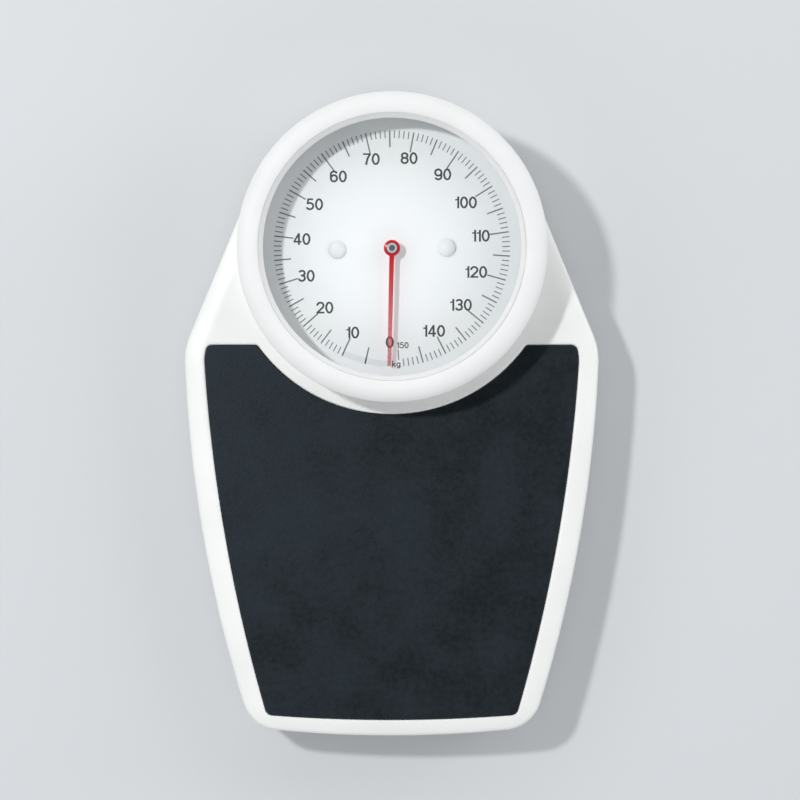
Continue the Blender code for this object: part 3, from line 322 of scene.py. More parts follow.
def drawnWire():
    # Hard-drawn spring wire, oiled: dark bright steel with fine die lines.
    material, tree, place = newMaterial("hardDrawnSpringWire")
    lines = addNode(tree, "TexNoise", {"Vector": place, "Scale": perSize(0.6), "Detail": 3.0})
    spread = addNode(tree, "MapRange", {"Value": lines, "From Min": 0.3, "From Max": 0.7})
    colour = addNode(
        tree, "Mix", {"data_type": "RGBA", 0: spread, 6: hexColour("#7D8185"), 7: hexColour("#9DA1A4")}, 2
    )
    rough = addNode(tree, "MapRange", {"Value": spread, "To Min": 0.22, "To Max": 0.36})
    shader = addNode(tree, "BsdfPrincipled", {"Base Color": colour, "Roughness": rough, "Metallic": 1.0})
    addNode(tree, "OutputMaterial", {"Surface": shader})
    return material


def turnedBrass():
    # Free-cutting brass, milled and turned: warm yellow metal with fine tool marks and a thin tarnish.
    material, tree, place = newMaterial("turnedBrass")
    marks = addNode(tree, "TexNoise", {"Vector": place, "Scale": perSize(0.4), "Detail": 3.0})
    tarnish = addNode(tree, "TexNoise", {"Vector": place, "Scale": perSize(5), "Detail": 3.0})
    spread = addNode(tree, "MapRange", {"Value": tarnish, "From Min": 0.3, "From Max": 0.7})
    colour = addNode(
        tree, "Mix", {"data_type": "RGBA", 0: spread, 6: hexColour("#C9A24F"), 7: hexColour("#D8B770")}, 2
    )
    rough = addNode(
        tree, "MapRange", {"Value": marks, "From Min": 0.3, "From Max": 0.7, "To Min": 0.24, "To Max": 0.38}
    )
    bumps = addNode(tree, "Bump", {"Height": marks, "Distance": 0.008 * mm})
    shader = addNode(
        tree, "BsdfPrincipled", {"Base Color": colour, "Roughness": rough, "Normal": bumps, "Metallic": 1.0}
    )
    addNode(tree, "OutputMaterial", {"Surface": shader})
    return material


finishes = dict(
    enamel=enamelledSteel(),
    moulding=mouldedAbs(),
    mat=mouldedRubberMat(),
    foot=mouldedRubberFoot(),
    # grey lining inside the drum: painted shade that deepens the dial's shadow
    shadeLining=mouldedPlastic("greyLiningForPaintedShade", "#8C9294", "#969C9E", 0.6),
    window=clearAcrylic(),
    dial=paintedDial(),
    ink=screenInk("blackScreenInk", "#434648", "#505355"),
    lineInk=screenInk("greyScreenInk", "#74787A", "#828688"),
    # a faint grey band along the start of the scale, drawn in this finish
    paleDialBand=screenInk("paleGreyDialBand", "#ECEEEF", "#F1F2F3"),
    pointer=dyedAcrylic(),
    stud=mouldedPlastic("mouldedWhiteAcetal", "#F0F1F3", "#F4F5F6", 0.56),
    hub=mouldedPlastic("mouldedGreyAcetal", "#B4BBBE", "#C0C6C8", 0.34),
    well=mouldedPlastic("mouldedSlateAcetal", "#4E5864", "#5A6470", 0.4),
    wheel=mouldedPlastic("mouldedGreyAbs", "#6E7275", "#7A7E80", 0.42),
    plated=platedSteel(),
    wire=drawnWire(),
    brass=turnedBrass(),
)
print("materials made:", len(finishes))


def bearing(start, end):
    return math.atan2(end[1] - start[1], end[0] - start[0])


def meetPoint(first, firstReach, second, secondReach):
    # the point at given reaches from two others, left of the way from first to second
    across = second - first
    along = (firstReach**2 - secondReach**2 + across.length**2) / (2 * across.length)
    side = math.sqrt(firstReach**2 - along**2)
    ahead = across.normalized()
    return first + ahead * along + Vector((ahead.y, -ahead.x)) * side


def frontArc(corner, radius, line):
    # centre and radius of the arc that touches the front line at x = 0 and the corner arc
    rise = corner.y - line
    bow = (corner.x**2 + rise**2 - radius**2) / (2 * (rise - radius))
    return Vector((0, line + bow)), bow


def onArc(centre, radius, turn):
    return Vector((centre[0] + radius * math.cos(turn), centre[1] + radius * math.sin(turn)))


def coverPath(inset):
    # right half of the cover's outline from the middle of the front: a start, then arcs
    # (centre, angle, steps) and straight runs (end, steps)
    corner = Vector((layout["cornerX"], frontY + layout["cornerSetback"]))
    side = meetPoint(wing, layout["sideRadius"] - layout["wingRadius"], corner, layout["sideRadius"] - layout["cornerRadius"])
    front, bow = frontArc(corner, layout["cornerRadius"], frontY)
    toCorner, toSide, toWing = bearing(front, corner), bearing(side, corner), bearing(side, wing)
    return onArc(front, bow - inset, -halfTurn / 2), [
        (front, toCorner + halfTurn / 2, 10),
        (corner, toSide - toCorner, 16),
        (side, toWing - toSide, 22),
        (wing, wingAngle - toWing, 20),
        (onArc(tower, layout["towerRadius"] - inset, wingAngle), 5),
        (tower, halfTurn / 2 - wingAngle, 48),
    ]


matShape = dict(
    rim=15.3, frontRim=12.45, sideRadius=1213.6, cornerSpread=5.4, cornerSetback=8.9, cornerRadius=5.5,
    wingRise=11.9, earRadius=4.5, hornRadius=3.0, drumBand=8.5, low=64.5, top=66.5, edge=0.7,
)


def matPath(grow):
    # right half of the mat's outline, with its round cut-out at the drum, made larger by grow
    wingArc = layout["wingRadius"] - matShape["rim"]
    frontLine = frontY + matShape["frontRim"]
    corner = Vector((layout["cornerX"] + matShape["cornerSpread"], frontLine + matShape["cornerSetback"]))
    side = meetPoint(wing, matShape["sideRadius"] - wingArc, corner, matShape["sideRadius"] - matShape["cornerRadius"])
    front, bow = frontArc(corner, matShape["cornerRadius"], frontLine)
    topY = wing.y + matShape["wingRise"]
    earTurn = math.asin((topY - matShape["earRadius"] - wing.y) / (wingArc - matShape["earRadius"]))
    ear = onArc(wing, wingArc - matShape["earRadius"], earTurn)
    cutRadius = layout["towerRadius"] + matShape["drumBand"]
    hornY = topY - matShape["hornRadius"]
    hornReach = cutRadius + matShape["hornRadius"]
    horn = Vector((math.sqrt(hornReach**2 - (towerY - hornY) ** 2), hornY))
    hornTurn = bearing(horn, tower)
    toCorner, toSide, toWing = bearing(front, corner), bearing(side, corner), bearing(side, wing)
    return onArc(front, bow + grow, -halfTurn / 2), [
        (front, toCorner + halfTurn / 2, 10),
        (corner, toSide - toCorner, 12),
        (side, toWing - toSide, 22),
        (wing, earTurn - toWing, 8),
        (ear, halfTurn / 2 - earTurn, 10),
        (onArc(horn, matShape["hornRadius"] + grow, halfTurn / 2), 4),
        (horn, hornTurn - halfTurn / 2, 10),
        (tower, halfTurn / 2 - hornTurn, 40),
    ]


def drawRing(shape, path, height):
    # one vertex is spun about each centre in turn, and what it draws is returned as edges
    start, moves = path
    tip = shape.verts.new((*start, height))
    for edge in shape.edges:
        edge.tag = True
    for move in moves:
        if len(move) == 2:
            step = (Vector((*move[0], height)) - tip.co) / move[1]
            for _ in range(move[1]):
                tip = bmesh.ops.extrude_vert_indiv(shape, verts=[tip])["verts"][0]
                bmesh.ops.translate(shape, verts=[tip], vec=step)
        else:
            centre, angle, steps = move
            made = bmesh.ops.spin(
                shape, geom=[tip], cent=(*centre, height), axis=(0, 0, 1), angle=angle, steps=steps
            )
            tip = made["geom_last"][0]
    ring = [edge for edge in shape.edges if not edge.tag]
    return ring


def ringSolid(pathOf, profile):
    # a closed form through outlines: (amount, height) pairs, bridged, mirrored and capped
    shape = bmesh.new()
    rings = [drawRing(shape, pathOf(amount), height) for amount, height in profile]
    for lower, upper in zip(rings, rings[1:]):
        bmesh.ops.bridge_loops(shape, edges=lower + upper)
    bmesh.ops.mirror(
        shape, geom=shape.verts[:] + shape.edges[:] + shape.faces[:], matrix=Matrix.Identity(4),
        merge_dist=0.001, axis="X",
    )
    bmesh.ops.holes_fill(shape, edges=[edge for edge in shape.edges if edge.is_boundary], sides=0)
    bmesh.ops.recalc_face_normals(shape, faces=shape.faces)
    return shape


def turnedSolid(profile, steps, centre=(0, 0), closed=True):
    shape = bmesh.new()
    points = [shape.verts.new((radius, 0, height)) for radius, height in profile]
    edges = [shape.edges.new(pair) for pair in zip(points, points[1:])]
    if closed:
        edges.append(shape.edges.new((points[-1], points[0])))
    bmesh.ops.spin(
        shape, geom=points + edges, cent=(0, 0, 0), axis=(0, 0, 1), angle=2 * halfTurn, steps=steps, use_merge=True
    )
    bmesh.ops.remove_doubles(shape, verts=shape.verts, dist=0.0005)
    bmesh.ops.translate(shape, verts=shape.verts, vec=(*centre, 0))
    bmesh.ops.recalc_face_normals(shape, faces=shape.faces)
    return shape


def rodSolid(start, end, radius, steps=32):
    start, end = Vector(start), Vector(end)
    shape = bmesh.new()
    bmesh.ops.create_cone(
        shape, cap_ends=True, segments=steps, radius1=radius, radius2=radius, depth=(end - start).length
    )
    turn = Vector((0, 0, 1)).rotation_difference(end - start).to_matrix().to_4x4()
    bmesh.ops.transform(shape, verts=shape.verts, matrix=Matrix.Translation((start + end) / 2) @ turn)
    return shape


def boxSolid(low, high):
    low, high = Vector(low), Vector(high)
    shape = bmesh.new()
    bmesh.ops.create_cube(shape, size=1.0)
    bmesh.ops.scale(shape, verts=shape.verts, vec=high - low)
    bmesh.ops.translate(shape, verts=shape.verts, vec=(low + high) / 2)
    return shape


def combine(base, *steps):
    # booleans by modifier, each ("UNION" or "DIFFERENCE", shape), applied before returning
    def holder(name, shape):
        mesh = bpy.data.meshes.new(name)
        shape.to_mesh(mesh)
        shape.free()
        item = bpy.data.objects.new(name, mesh)
        scene.collection.objects.link(item)
        return item

    body = holder("workBody", base)
    others = []
    for operation, shape in steps:
        other = holder("workOther", shape)
        step = body.modifiers.new(operation.lower(), "BOOLEAN")
        step.operation, step.solver, step.object = operation, "EXACT", other
        others.append(other)
    bpy.context.view_layer.update()
    made = bpy.data.meshes.new_from_object(body.evaluated_get(bpy.context.evaluated_depsgraph_get()))
    shape = bmesh.new()
    shape.from_mesh(made)
    bpy.data.meshes.remove(made)
    for item in [body, *others]:
        mesh = item.data
        bpy.data.objects.remove(item)
        bpy.data.meshes.remove(mesh)
    return shape


def mergeShapes(shapes):
    whole = bmesh.new()
    for shape in shapes:
        mesh = bpy.data.meshes.new("part")
        shape.to_mesh(mesh)
        shape.free()
        whole.from_mesh(mesh)
        bpy.data.meshes.remove(mesh)
    return whole


def finishPiece(name, shape, material, body, node=None, sharp=35, flats=True):
    # to metres, shaded smooth with sharp corners, and riding on its body, if it has just one
    bmesh.ops.scale(shape, verts=shape.verts, vec=(mm, mm, mm))
    mesh = bpy.data.meshes.new(name)
    shape.to_mesh(mesh)
    shape.free()
    mesh.shade_smooth()
    mesh.set_sharp_from_angle(angle=math.radians(sharp))
    if flats:  # a large flat face keeps its own normal, so no shading runs across it
        edgeOf = {tuple(sorted(edge.vertices)): edge for edge in mesh.edges}
        for face in mesh.polygons:
            if len(face.vertices) > 4 or face.area > 60 * mm * mm:
                for pair in face.edge_keys:
                    edgeOf[tuple(sorted(pair))].use_edge_sharp = True
    mesh.materials.append(material)
    piece = bpy.data.objects.new(name, mesh)
    scene.collection.objects.link(piece)
    if body:
        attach(piece, body)
    if node:
        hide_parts(*([node] if isinstance(node, str) else node))
    return piece

cover = dict(
    wall=1.2, skirtLow=16.0, hem=2.1, hemHigh=18.8, recessFloor=64.2, matGap=0.3, drumFoot=114.6, fillet=1.4,
    # (inset, height) up the skirt and over the crowned rim
    crown=[
        (1.1, 16.0), (0.45, 16.12), (0.15, 16.45), (0.03, 16.9), (0.03, 38.0), (0.03, 60.0), (0.06, 60.9),
        (0.14, 61.6), (0.28, 62.2), (0.5, 62.75), (0.8, 63.2), (1.2, 63.6), (1.7, 63.95), (2.3, 64.28),
        (3.0, 64.6), (3.8, 64.93), (4.7, 65.26), (5.7, 65.59), (6.8, 65.91), (8.0, 66.21), (9.2, 66.46),
        (10.4, 66.66), (11.6, 66.82), (12.8, 66.93), (14.5, 67.0),
    ],
    # (growth, height) of the mat's recess, with a rolled lip
    recess=[
        (0.3, 64.2), (0.3, 65.5), (0.36, 65.9), (0.54, 66.28), (0.84, 66.58), (1.24, 66.8), (1.74, 66.94),
        (2.3, 67.02), (2.3, 72.0),
    ],
)


def buildCover():
    inside = [
        (cover["hem"], 12.0), (cover["hem"], cover["hemHigh"]), (cover["wall"], cover["hemHigh"] + 0.9),
        (cover["wall"], 57.4), (2.3, 61.4), (4.6, 63.8), (8.0, 65.1), (12.0, 65.75),
    ]
    foot, low = cover["drumFoot"], layout["rimTop"] - 10
    fillet = [
        (layout["drumRadius"] + cover["fillet"] * (1 - math.sin(t)), layout["rimTop"] + cover["fillet"] * (1 - math.cos(t)))
        for t in [math.radians(15 * i) for i in range(1, 7)]
    ]
    top, radius = layout["drumTop"], layout["drumRadius"]
    drum = [(0, low), (foot, low), (foot, layout["rimTop"])] + fillet + [
        (radius, top - 0.8), (radius - 0.25, top - 0.2), (radius - 0.8, top), (0, top)
    ]
    hollow = [
        (0, 47.0), (radius - cover["wall"], 47.0), (radius - cover["wall"], top - cover["wall"]),
        (104.3, top - cover["wall"]), (104.3, top + 4), (0, top + 4),
    ]
    pressed = ringSolid(matPath, [(1.5, 63.0), (1.5, 72.0)])
    cavity = combine(ringSolid(coverPath, inside), ("DIFFERENCE", pressed))
    shape = combine(
        ringSolid(coverPath, cover["crown"]),
        ("UNION", turnedSolid(drum, 192, tower, closed=False)),
        ("DIFFERENCE", cavity),
        ("DIFFERENCE", turnedSolid(hollow, 96, tower, closed=False)),
        ("DIFFERENCE", ringSolid(matPath, cover["recess"])),
    )
    finishPiece("platformShell", shape, finishes["enamel"], "platform", "platform_cover")
    # inside the drum a grey lining darkens the white sheet: painted shade, which deepens the dial's shadow by cutting
    # the light the wall throws back
    reach, foot = radius - cover["wall"], layout["dialTop"] - 12
    lining = [(reach - 0.2, foot), (reach, foot), (reach, top - cover["wall"]), (reach - 0.2, top - cover["wall"])]
    finishPiece("drumShadeLining", turnedSolid(lining, 96, tower), finishes["shadeLining"], "platform")


def buildMat():
    low, top = matShape["low"], matShape["top"]
    profile = [
        (-0.3, low), (0.0, low + 0.3), (0.0, top - 0.7), (-0.08, top - 0.42), (-0.25, top - 0.2), (-0.45, top - 0.07),
        (-0.75, top),
    ]
    return finishPiece("treadRubber", ringSolid(matPath, profile), finishes["mat"], "platform", "tread_mat")


bezel = dict(
    radius=114.3, width=15.4, low=98.3, top=112.0, peak=104.3, bow=14.0, edgeRound=0.9, innerDrop=0.9,
    lip=0.7, slopeWidth=3.9, slopeDrop=3.4, throat=1.3, collarInside=102.0, collarOutside=104.0, steps=224,
    grooveWidth=0.35, grooveDepth=0.9, coneTop=0.35, coneFoot=106.1,
)


def bezelCrown():
    # (radius, height) from the outside over the top to the opening: a small round at the edge,
    # a bowed shoulder, and a gentle fall towards the middle
    lean = math.asin((bezel["radius"] - bezel["edgeRound"] - bezel["peak"]) / (bezel["bow"] - bezel["edgeRound"]))
    centre = (bezel["peak"], bezel["top"] - bezel["bow"])
    away = bezel["bow"] - bezel["edgeRound"]
    corner = (centre[0] + away * math.sin(lean), centre[1] + away * math.cos(lean))
    points = []
    for i in range(7):
        turn = quarterTurn + (lean - quarterTurn) * i / 6
        points.append((corner[0] + bezel["edgeRound"] * math.sin(turn), corner[1] + bezel["edgeRound"] * math.cos(turn)))
    for i in range(1, 17):
        turn = lean * (1 - i / 16)
        points.append((centre[0] + bezel["bow"] * math.sin(turn), centre[1] + bezel["bow"] * math.cos(turn)))
    for i in range(1, 9):
        share = i / 8
        radius = bezel["peak"] + (bezel["radius"] - bezel["width"] - bezel["peak"]) * share
        points.append((radius, bezel["top"] - bezel["innerDrop"] * share**2.25))
    return points


def buildBezel():
    crown = bezelCrown()
    opening, edge = crown[-1]
    throat = opening - bezel["slopeWidth"]
    ledge = edge - bezel["lip"] - bezel["slopeDrop"] - bezel["throat"]
    brink = opening - 0.25 - bezel["grooveWidth"]  # where the sloping ring starts, past a fine groove
    inner = [
        (opening - 0.17, edge - 0.08), (opening - 0.25, edge - 0.25), (opening - 0.25, edge - bezel["grooveDepth"]),
        (brink, edge - bezel["grooveDepth"]), (brink, edge - bezel["coneTop"] - 0.12),
        (brink - 0.12, edge - bezel["coneTop"]), (throat + 0.22, bezel["coneFoot"] + 0.26),
        (throat, bezel["coneFoot"] - 0.1), (throat, ledge), (bezel["collarInside"], ledge),
        (bezel["collarInside"], ledge - 2.6), (bezel["collarInside"] - 0.8, ledge - 3.1),
        (bezel["collarInside"], ledge - 3.6), (bezel["collarInside"], layout["drumTop"] - 4.0),
    ]
    outer = [
        (bezel["collarOutside"], layout["drumTop"] - 4.0), (bezel["collarOutside"] + 0.8, layout["drumTop"] - 2.0),
        (bezel["collarOutside"], layout["drumTop"] - 1.5), (bezel["collarOutside"], bezel["low"]),
        (bezel["radius"] - 0.5, bezel["low"]), (bezel["radius"], bezel["low"] + 0.5),
    ]
    shape = turnedSolid(crown + inner + outer, bezel["steps"], tower)
    return finishPiece("bezelMoulding", shape, finishes["moulding"], "platform", "bezel_ring", flats=False)


buildCover()
buildMat()
buildBezel()
print("platform pieces made")

dialPrint = dict(
    film=0.05, sink=0.02, outer=88.0, minorInner=82.3, fiveInner=75.5,
    minorWidth=0.72, fiveWidth=1.0, tenWidth=1.0, lastInner=75.5, lastOuter=83.0,
    digitHeight=8.8, cornerReach=74.2, outward={10: 0.8, 130: 1.2, 140: 2.5}, smallHeight=4.6,
    fiftyPlace=(8.15, 52.7), unitPlace=(3.26, 38.3), arcReach=85.8, arcWidth=4.5,
)

# a medium grotesque on a box 4.4 by 7.5, drawn by the middle of a 1.3 wide pen
letters = dict(high=7.5, wide=4.4, pen=1.4, thinPen=1.25, flagPen=1.05, stretch=1.06, gap=0.55, bowl=4.7, shoulder=35, steps=14)


def penOval(middle, low, wide, high):
    # an upright oval of four bends that run into each other, from the middle of its foot
    ease = math.radians(letters["shoulder"])
    spare = (high - wide) / 2 / (math.sin(ease) + math.cos(ease) - 1)
    end = wide / 2 - spare * (1 - math.cos(ease))
    side, flat = 2 * letters["shoulder"], 90 - letters["shoulder"]
    return (middle, low), 0, [(end, flat), (end + spare, side), (end, 2 * flat), (end + spare, side), (end, flat)]


# each stroke: where the pen starts, its heading in degrees, and then runs (length,) and bends (radius, angle)
thin, flag = letters["thinPen"], letters["flagPen"]
strokes = {
    "0": [penOval(2.2, 0, 4.4, 7.5)],
    "1": [((1.9, -0.65), 90, [(8.8,)]), ((-0.25, 5.75), 0, [(0.55,), (1.6, 90)], flag)],
    "2": [((0, 5.2), 90, [(0.1,), (2.2, -225), (5.0,)]), ((-0.65, 0), 0, [(5.7,)], thin)],
    "3": [((0.306, 6.349), 70, [(1.75, -70), (0.35,), (1.75, -180), (0.9,)]),
          ((1.4, 4.0), 0, [(0.8,), (2.0, -180), (0.3,), (2.0, -78)])],
    "4": [((3.2, -0.65), 90, [(8.8,)]), ((-0.6, 1.75), 0, [(5.7,)], thin), ((-0.15, 1.9), 61.1, [(6.5,)], thin)],
    "5": [((0.45, 7.55), 0, [(3.9,)], thin), ((0.95, 7.9), -97.5, [(4.0,)], thin), ((0.211, 3.943), 50, [(2.4, -300)])],
    "6": [penOval(2.2, 0, 4.4, letters["bowl"]), ((0, 2.3), 90, [(3.0,), (2.2, -158)])],
    "7": [((-0.6, 7.5), 0, [(5.65,)], thin), ((4.3, 7.35), -125, [(14.0, 30), (1.2,)])],
    "8": [penOval(2.2, 3.85, 3.9, 3.65), penOval(2.2, 0, 4.4, 4.05)],
    "k": [((0, -0.65), 90, [(8.8,)]), ((0.2, 1.9), 42, [(4.6,)], thin), ((1.5, 3.2), -52, [(4.5,)], thin)],
    "g": [penOval(2.0, 0, 4.0, 5.0), ((4.0, 5.3), -90, [(5.6,), (2.0, -150)])],
}


def penStroke(start, heading, moves, pen=letters["pen"]):
    # a short edge is pushed along the runs and spun round the bends, then given the ink's thickness
    shape = bmesh.new()
    turn, spot = math.radians(heading), Vector((*start, 0))
    across = Vector((-math.sin(turn), math.cos(turn), 0))
    tip = [shape.verts.new(spot + across * pen / 2), shape.verts.new(spot - across * pen / 2)]
    line = shape.edges.new(tip)
    for move in moves:
        bend = len(move) == 2
        across = Vector((-math.sin(turn), math.cos(turn), 0))
        ahead = Vector((math.cos(turn), math.sin(turn), 0))
        angle = math.radians(move[1]) if bend else 0.0
        centre = spot + across * math.copysign(move[0], angle) if bend else spot
        steps = max(2, round(abs(angle) / halfTurn * letters["steps"])) if bend else 1
        made = bmesh.ops.spin(
            shape, geom=[line, *line.verts], cent=centre, axis=(0, 0, 1), angle=angle, steps=steps,
            dvec=(0, 0, 0) if bend else ahead * move[0],
        )["geom_last"]
        line = next(part for part in made if isinstance(part, bmesh.types.BMEdge))
        spot = sum((corner.co for corner in line.verts), Vector()) / 2
        turn += angle
    bmesh.ops.remove_doubles(shape, verts=shape.verts, dist=0.002)
    pushed = bmesh.ops.extrude_face_region(shape, geom=shape.faces[:])["geom"]
    raised = [part for part in pushed if isinstance(part, bmesh.types.BMVert)]
    bmesh.ops.translate(shape, verts=raised, vec=(0, 0, dialPrint["film"] + dialPrint["sink"]))
    bmesh.ops.recalc_face_normals(shape, faces=shape.faces)
    return shape


def drawFigure(name):
    turned = name == "9"  # a nine is a six turned half way round
    first, *others = [penStroke(*stroke) for stroke in strokes["6" if turned else name]]
    shape = combine(first, *[("UNION", other) for other in others]) if others else first
    if turned:
        middle = Vector((letters["wide"] / 2, letters["high"] / 2, 0))
        bmesh.ops.rotate(shape, verts=shape.verts, cent=middle, matrix=Matrix.Rotation(halfTurn, 3, "Z"))
    return shape


def spanOf(shape, axis):
    places = [corner.co[axis] for corner in shape.verts]
    return min(places), max(places)


def wordShape(words, height, figures):
    # figures set close together, centred on the origin
    placed, pen = [], 0.0
    for name in words:
        if name not in figures:
            figures[name] = drawFigure(name)
        shape = figures[name].copy()
        left, right = spanOf(shape, 0)
        bmesh.ops.translate(shape, verts=shape.verts, vec=(pen - left, 0, 0))
        pen += right - left + letters["gap"]
        placed.append(shape)
    whole = mergeShapes(placed)
    grow = height / (letters["high"] + letters["pen"])
    bmesh.ops.scale(whole, verts=whole.verts, vec=(grow * letters["stretch"], grow, 1.0))
    (left, right), (foot, head) = spanOf(whole, 0), spanOf(whole, 1)
    bmesh.ops.translate(whole, verts=whole.verts, vec=(-(left + right) / 2, -(foot + head) / 2, 0))
    return whole, (right - left) / 2, (head - foot) / 2


def kiloTurn(kilos):
    return zeroTurn - math.radians(layout["sweep"]) * kilos / layout["capacity"]


def printLow():
    return layout["dialTop"] - dialPrint["sink"]


def buildNumbers():
    words, figures, inner = [], {}, {}
    for kilos in range(0, layout["capacity"], 10):
        turn = kiloTurn(kilos)
        shape, halfWide, halfHigh = wordShape(str(kilos), dialPrint["digitHeight"], figures)
        # the far corner of each number lies on one circle round the dial's centre
        lean = halfWide * abs(math.cos(turn)) + halfHigh * abs(math.sin(turn))
        reach = math.sqrt(lean**2 - halfWide**2 - halfHigh**2 + dialPrint["cornerReach"] ** 2) - lean
        reach += dialPrint["outward"].get(kilos, 0.0)
        away = min(halfWide / max(abs(math.cos(turn)), 0.001), halfHigh / max(abs(math.sin(turn)), 0.001))
        inner[kilos] = reach + away
        bmesh.ops.translate(shape, verts=shape.verts, vec=(*onArc(tower, reach, turn), printLow()))
        words.append(shape)
    for body, place in (("150", dialPrint["fiftyPlace"]), ("kg", dialPrint["unitPlace"])):
        shape, halfWide, halfHigh = wordShape(body, dialPrint["smallHeight"], figures)
        bmesh.ops.translate(shape, verts=shape.verts, vec=(*place, printLow()))
        words.append(shape)
    for shape in figures.values():
        shape.free()
    finishPiece("dialNumbers", mergeShapes(words), finishes["ink"], "base", sharp=30, flats=False)
    return inner


def buildMarks(numberInner):
    low, high = printLow(), layout["dialTop"] + dialPrint["film"]
    marks = []
    for kilos in range(1, layout["capacity"] + 1):
        if kilos < 10 and kilos != 5:
            continue  # the dial has no single-kilogram lines before ten
        inner, wide, outer = dialPrint["minorInner"], dialPrint["minorWidth"], dialPrint["outer"]
        if kilos == layout["capacity"]:
            inner, outer = dialPrint["lastInner"], dialPrint["lastOuter"]
        elif kilos % 10 == 0:
            inner, wide = numberInner[kilos], dialPrint["tenWidth"]
        elif kilos % 5 == 0:
            inner, wide = dialPrint["fiveInner"], dialPrint["fiveWidth"]
        line = boxSolid((inner, -wide / 2, low), (outer, wide / 2, high))
        spot = Matrix.Translation((*tower, 0)) @ Matrix.Rotation(kiloTurn(kilos), 4, "Z")
        bmesh.ops.transform(line, verts=line.verts, matrix=spot)
        marks.append(line)
    finishPiece("dialMarks", mergeShapes(marks), finishes["lineInk"], "base", sharp=30, flats=False)


def buildRestArc():
    # a faint pale grey band drawn on the dial along the part of the scale below ten kilograms, where no lines are
    # printed
    low, high = printLow(), layout["dialTop"] + dialPrint["film"]
    near, far = dialPrint["arcReach"] - dialPrint["arcWidth"] / 2, dialPrint["arcReach"] + dialPrint["arcWidth"] / 2
    arc = boxSolid((near, -0.01, low), (far, 0.01, high))
    end = [face for face in arc.faces if face.normal.y < -0.9]
    made = bmesh.ops.spin(
        arc, geom=end, cent=(0, 0, 0), axis=(0, 0, 1), angle=kiloTurn(10) - kiloTurn(0), steps=24,
    )
    spot = Matrix.Translation((*tower, 0)) @ Matrix.Rotation(kiloTurn(0), 4, "Z")
    bmesh.ops.transform(arc, verts=arc.verts, matrix=spot)
    bmesh.ops.recalc_face_normals(arc, faces=arc.faces)
    finishPiece("dialRestArc", arc, finishes["paleDialBand"], "base", sharp=30, flats=False)


stud = dict(reach=40.81, radius=6.75, height=3.4, brim=75.3, neck=3.0, body=4.0, seat=73.2, low=67.8, steps=64)


def buildStuds():
    turn = math.radians(layout["dialTurn"])
    for side, away in (("Left", -1), ("Right", 1)):
        place = tower + Vector((math.cos(turn), math.sin(turn))) * stud["reach"] * away
        brim = stud["brim"]
        dome = [
            (stud["radius"] * math.cos(t), brim + 0.35 + (stud["height"] - 0.35) * math.sin(t))
            for t in [halfTurn / 2 * i / 12 for i in range(12)]
        ]
        profile = [
            (0, stud["low"]), (stud["body"], stud["low"]), (stud["body"], stud["seat"]), (stud["neck"], stud["seat"]),
            (stud["neck"], brim), (stud["radius"] - 0.15, brim),
        ] + dome + [(0, brim + stud["height"])]
        shape = turnedSolid(profile, stud["steps"], place, closed=False)
        finishPiece(
            "dialStud" + side, shape, finishes["stud"], "base", "dial_stud_" + side.lower(),
            flats=False,
        )


pointerShape = dict(
    length=87.5, rootWidth=3.7, tipWidth=2.9, low=83.6, high=84.4, bossRadius=6.1, bossLow=83.0, bossHigh=85.0,
    bore=1.8, chamfer=0.15, droopStart=50.0, droop=2.6,
    hubRadius=3.75, hubLow=85.3, hubHigh=87.1, wellRadius=2.25, wellDepth=0.9, boreHub=1.8,
)


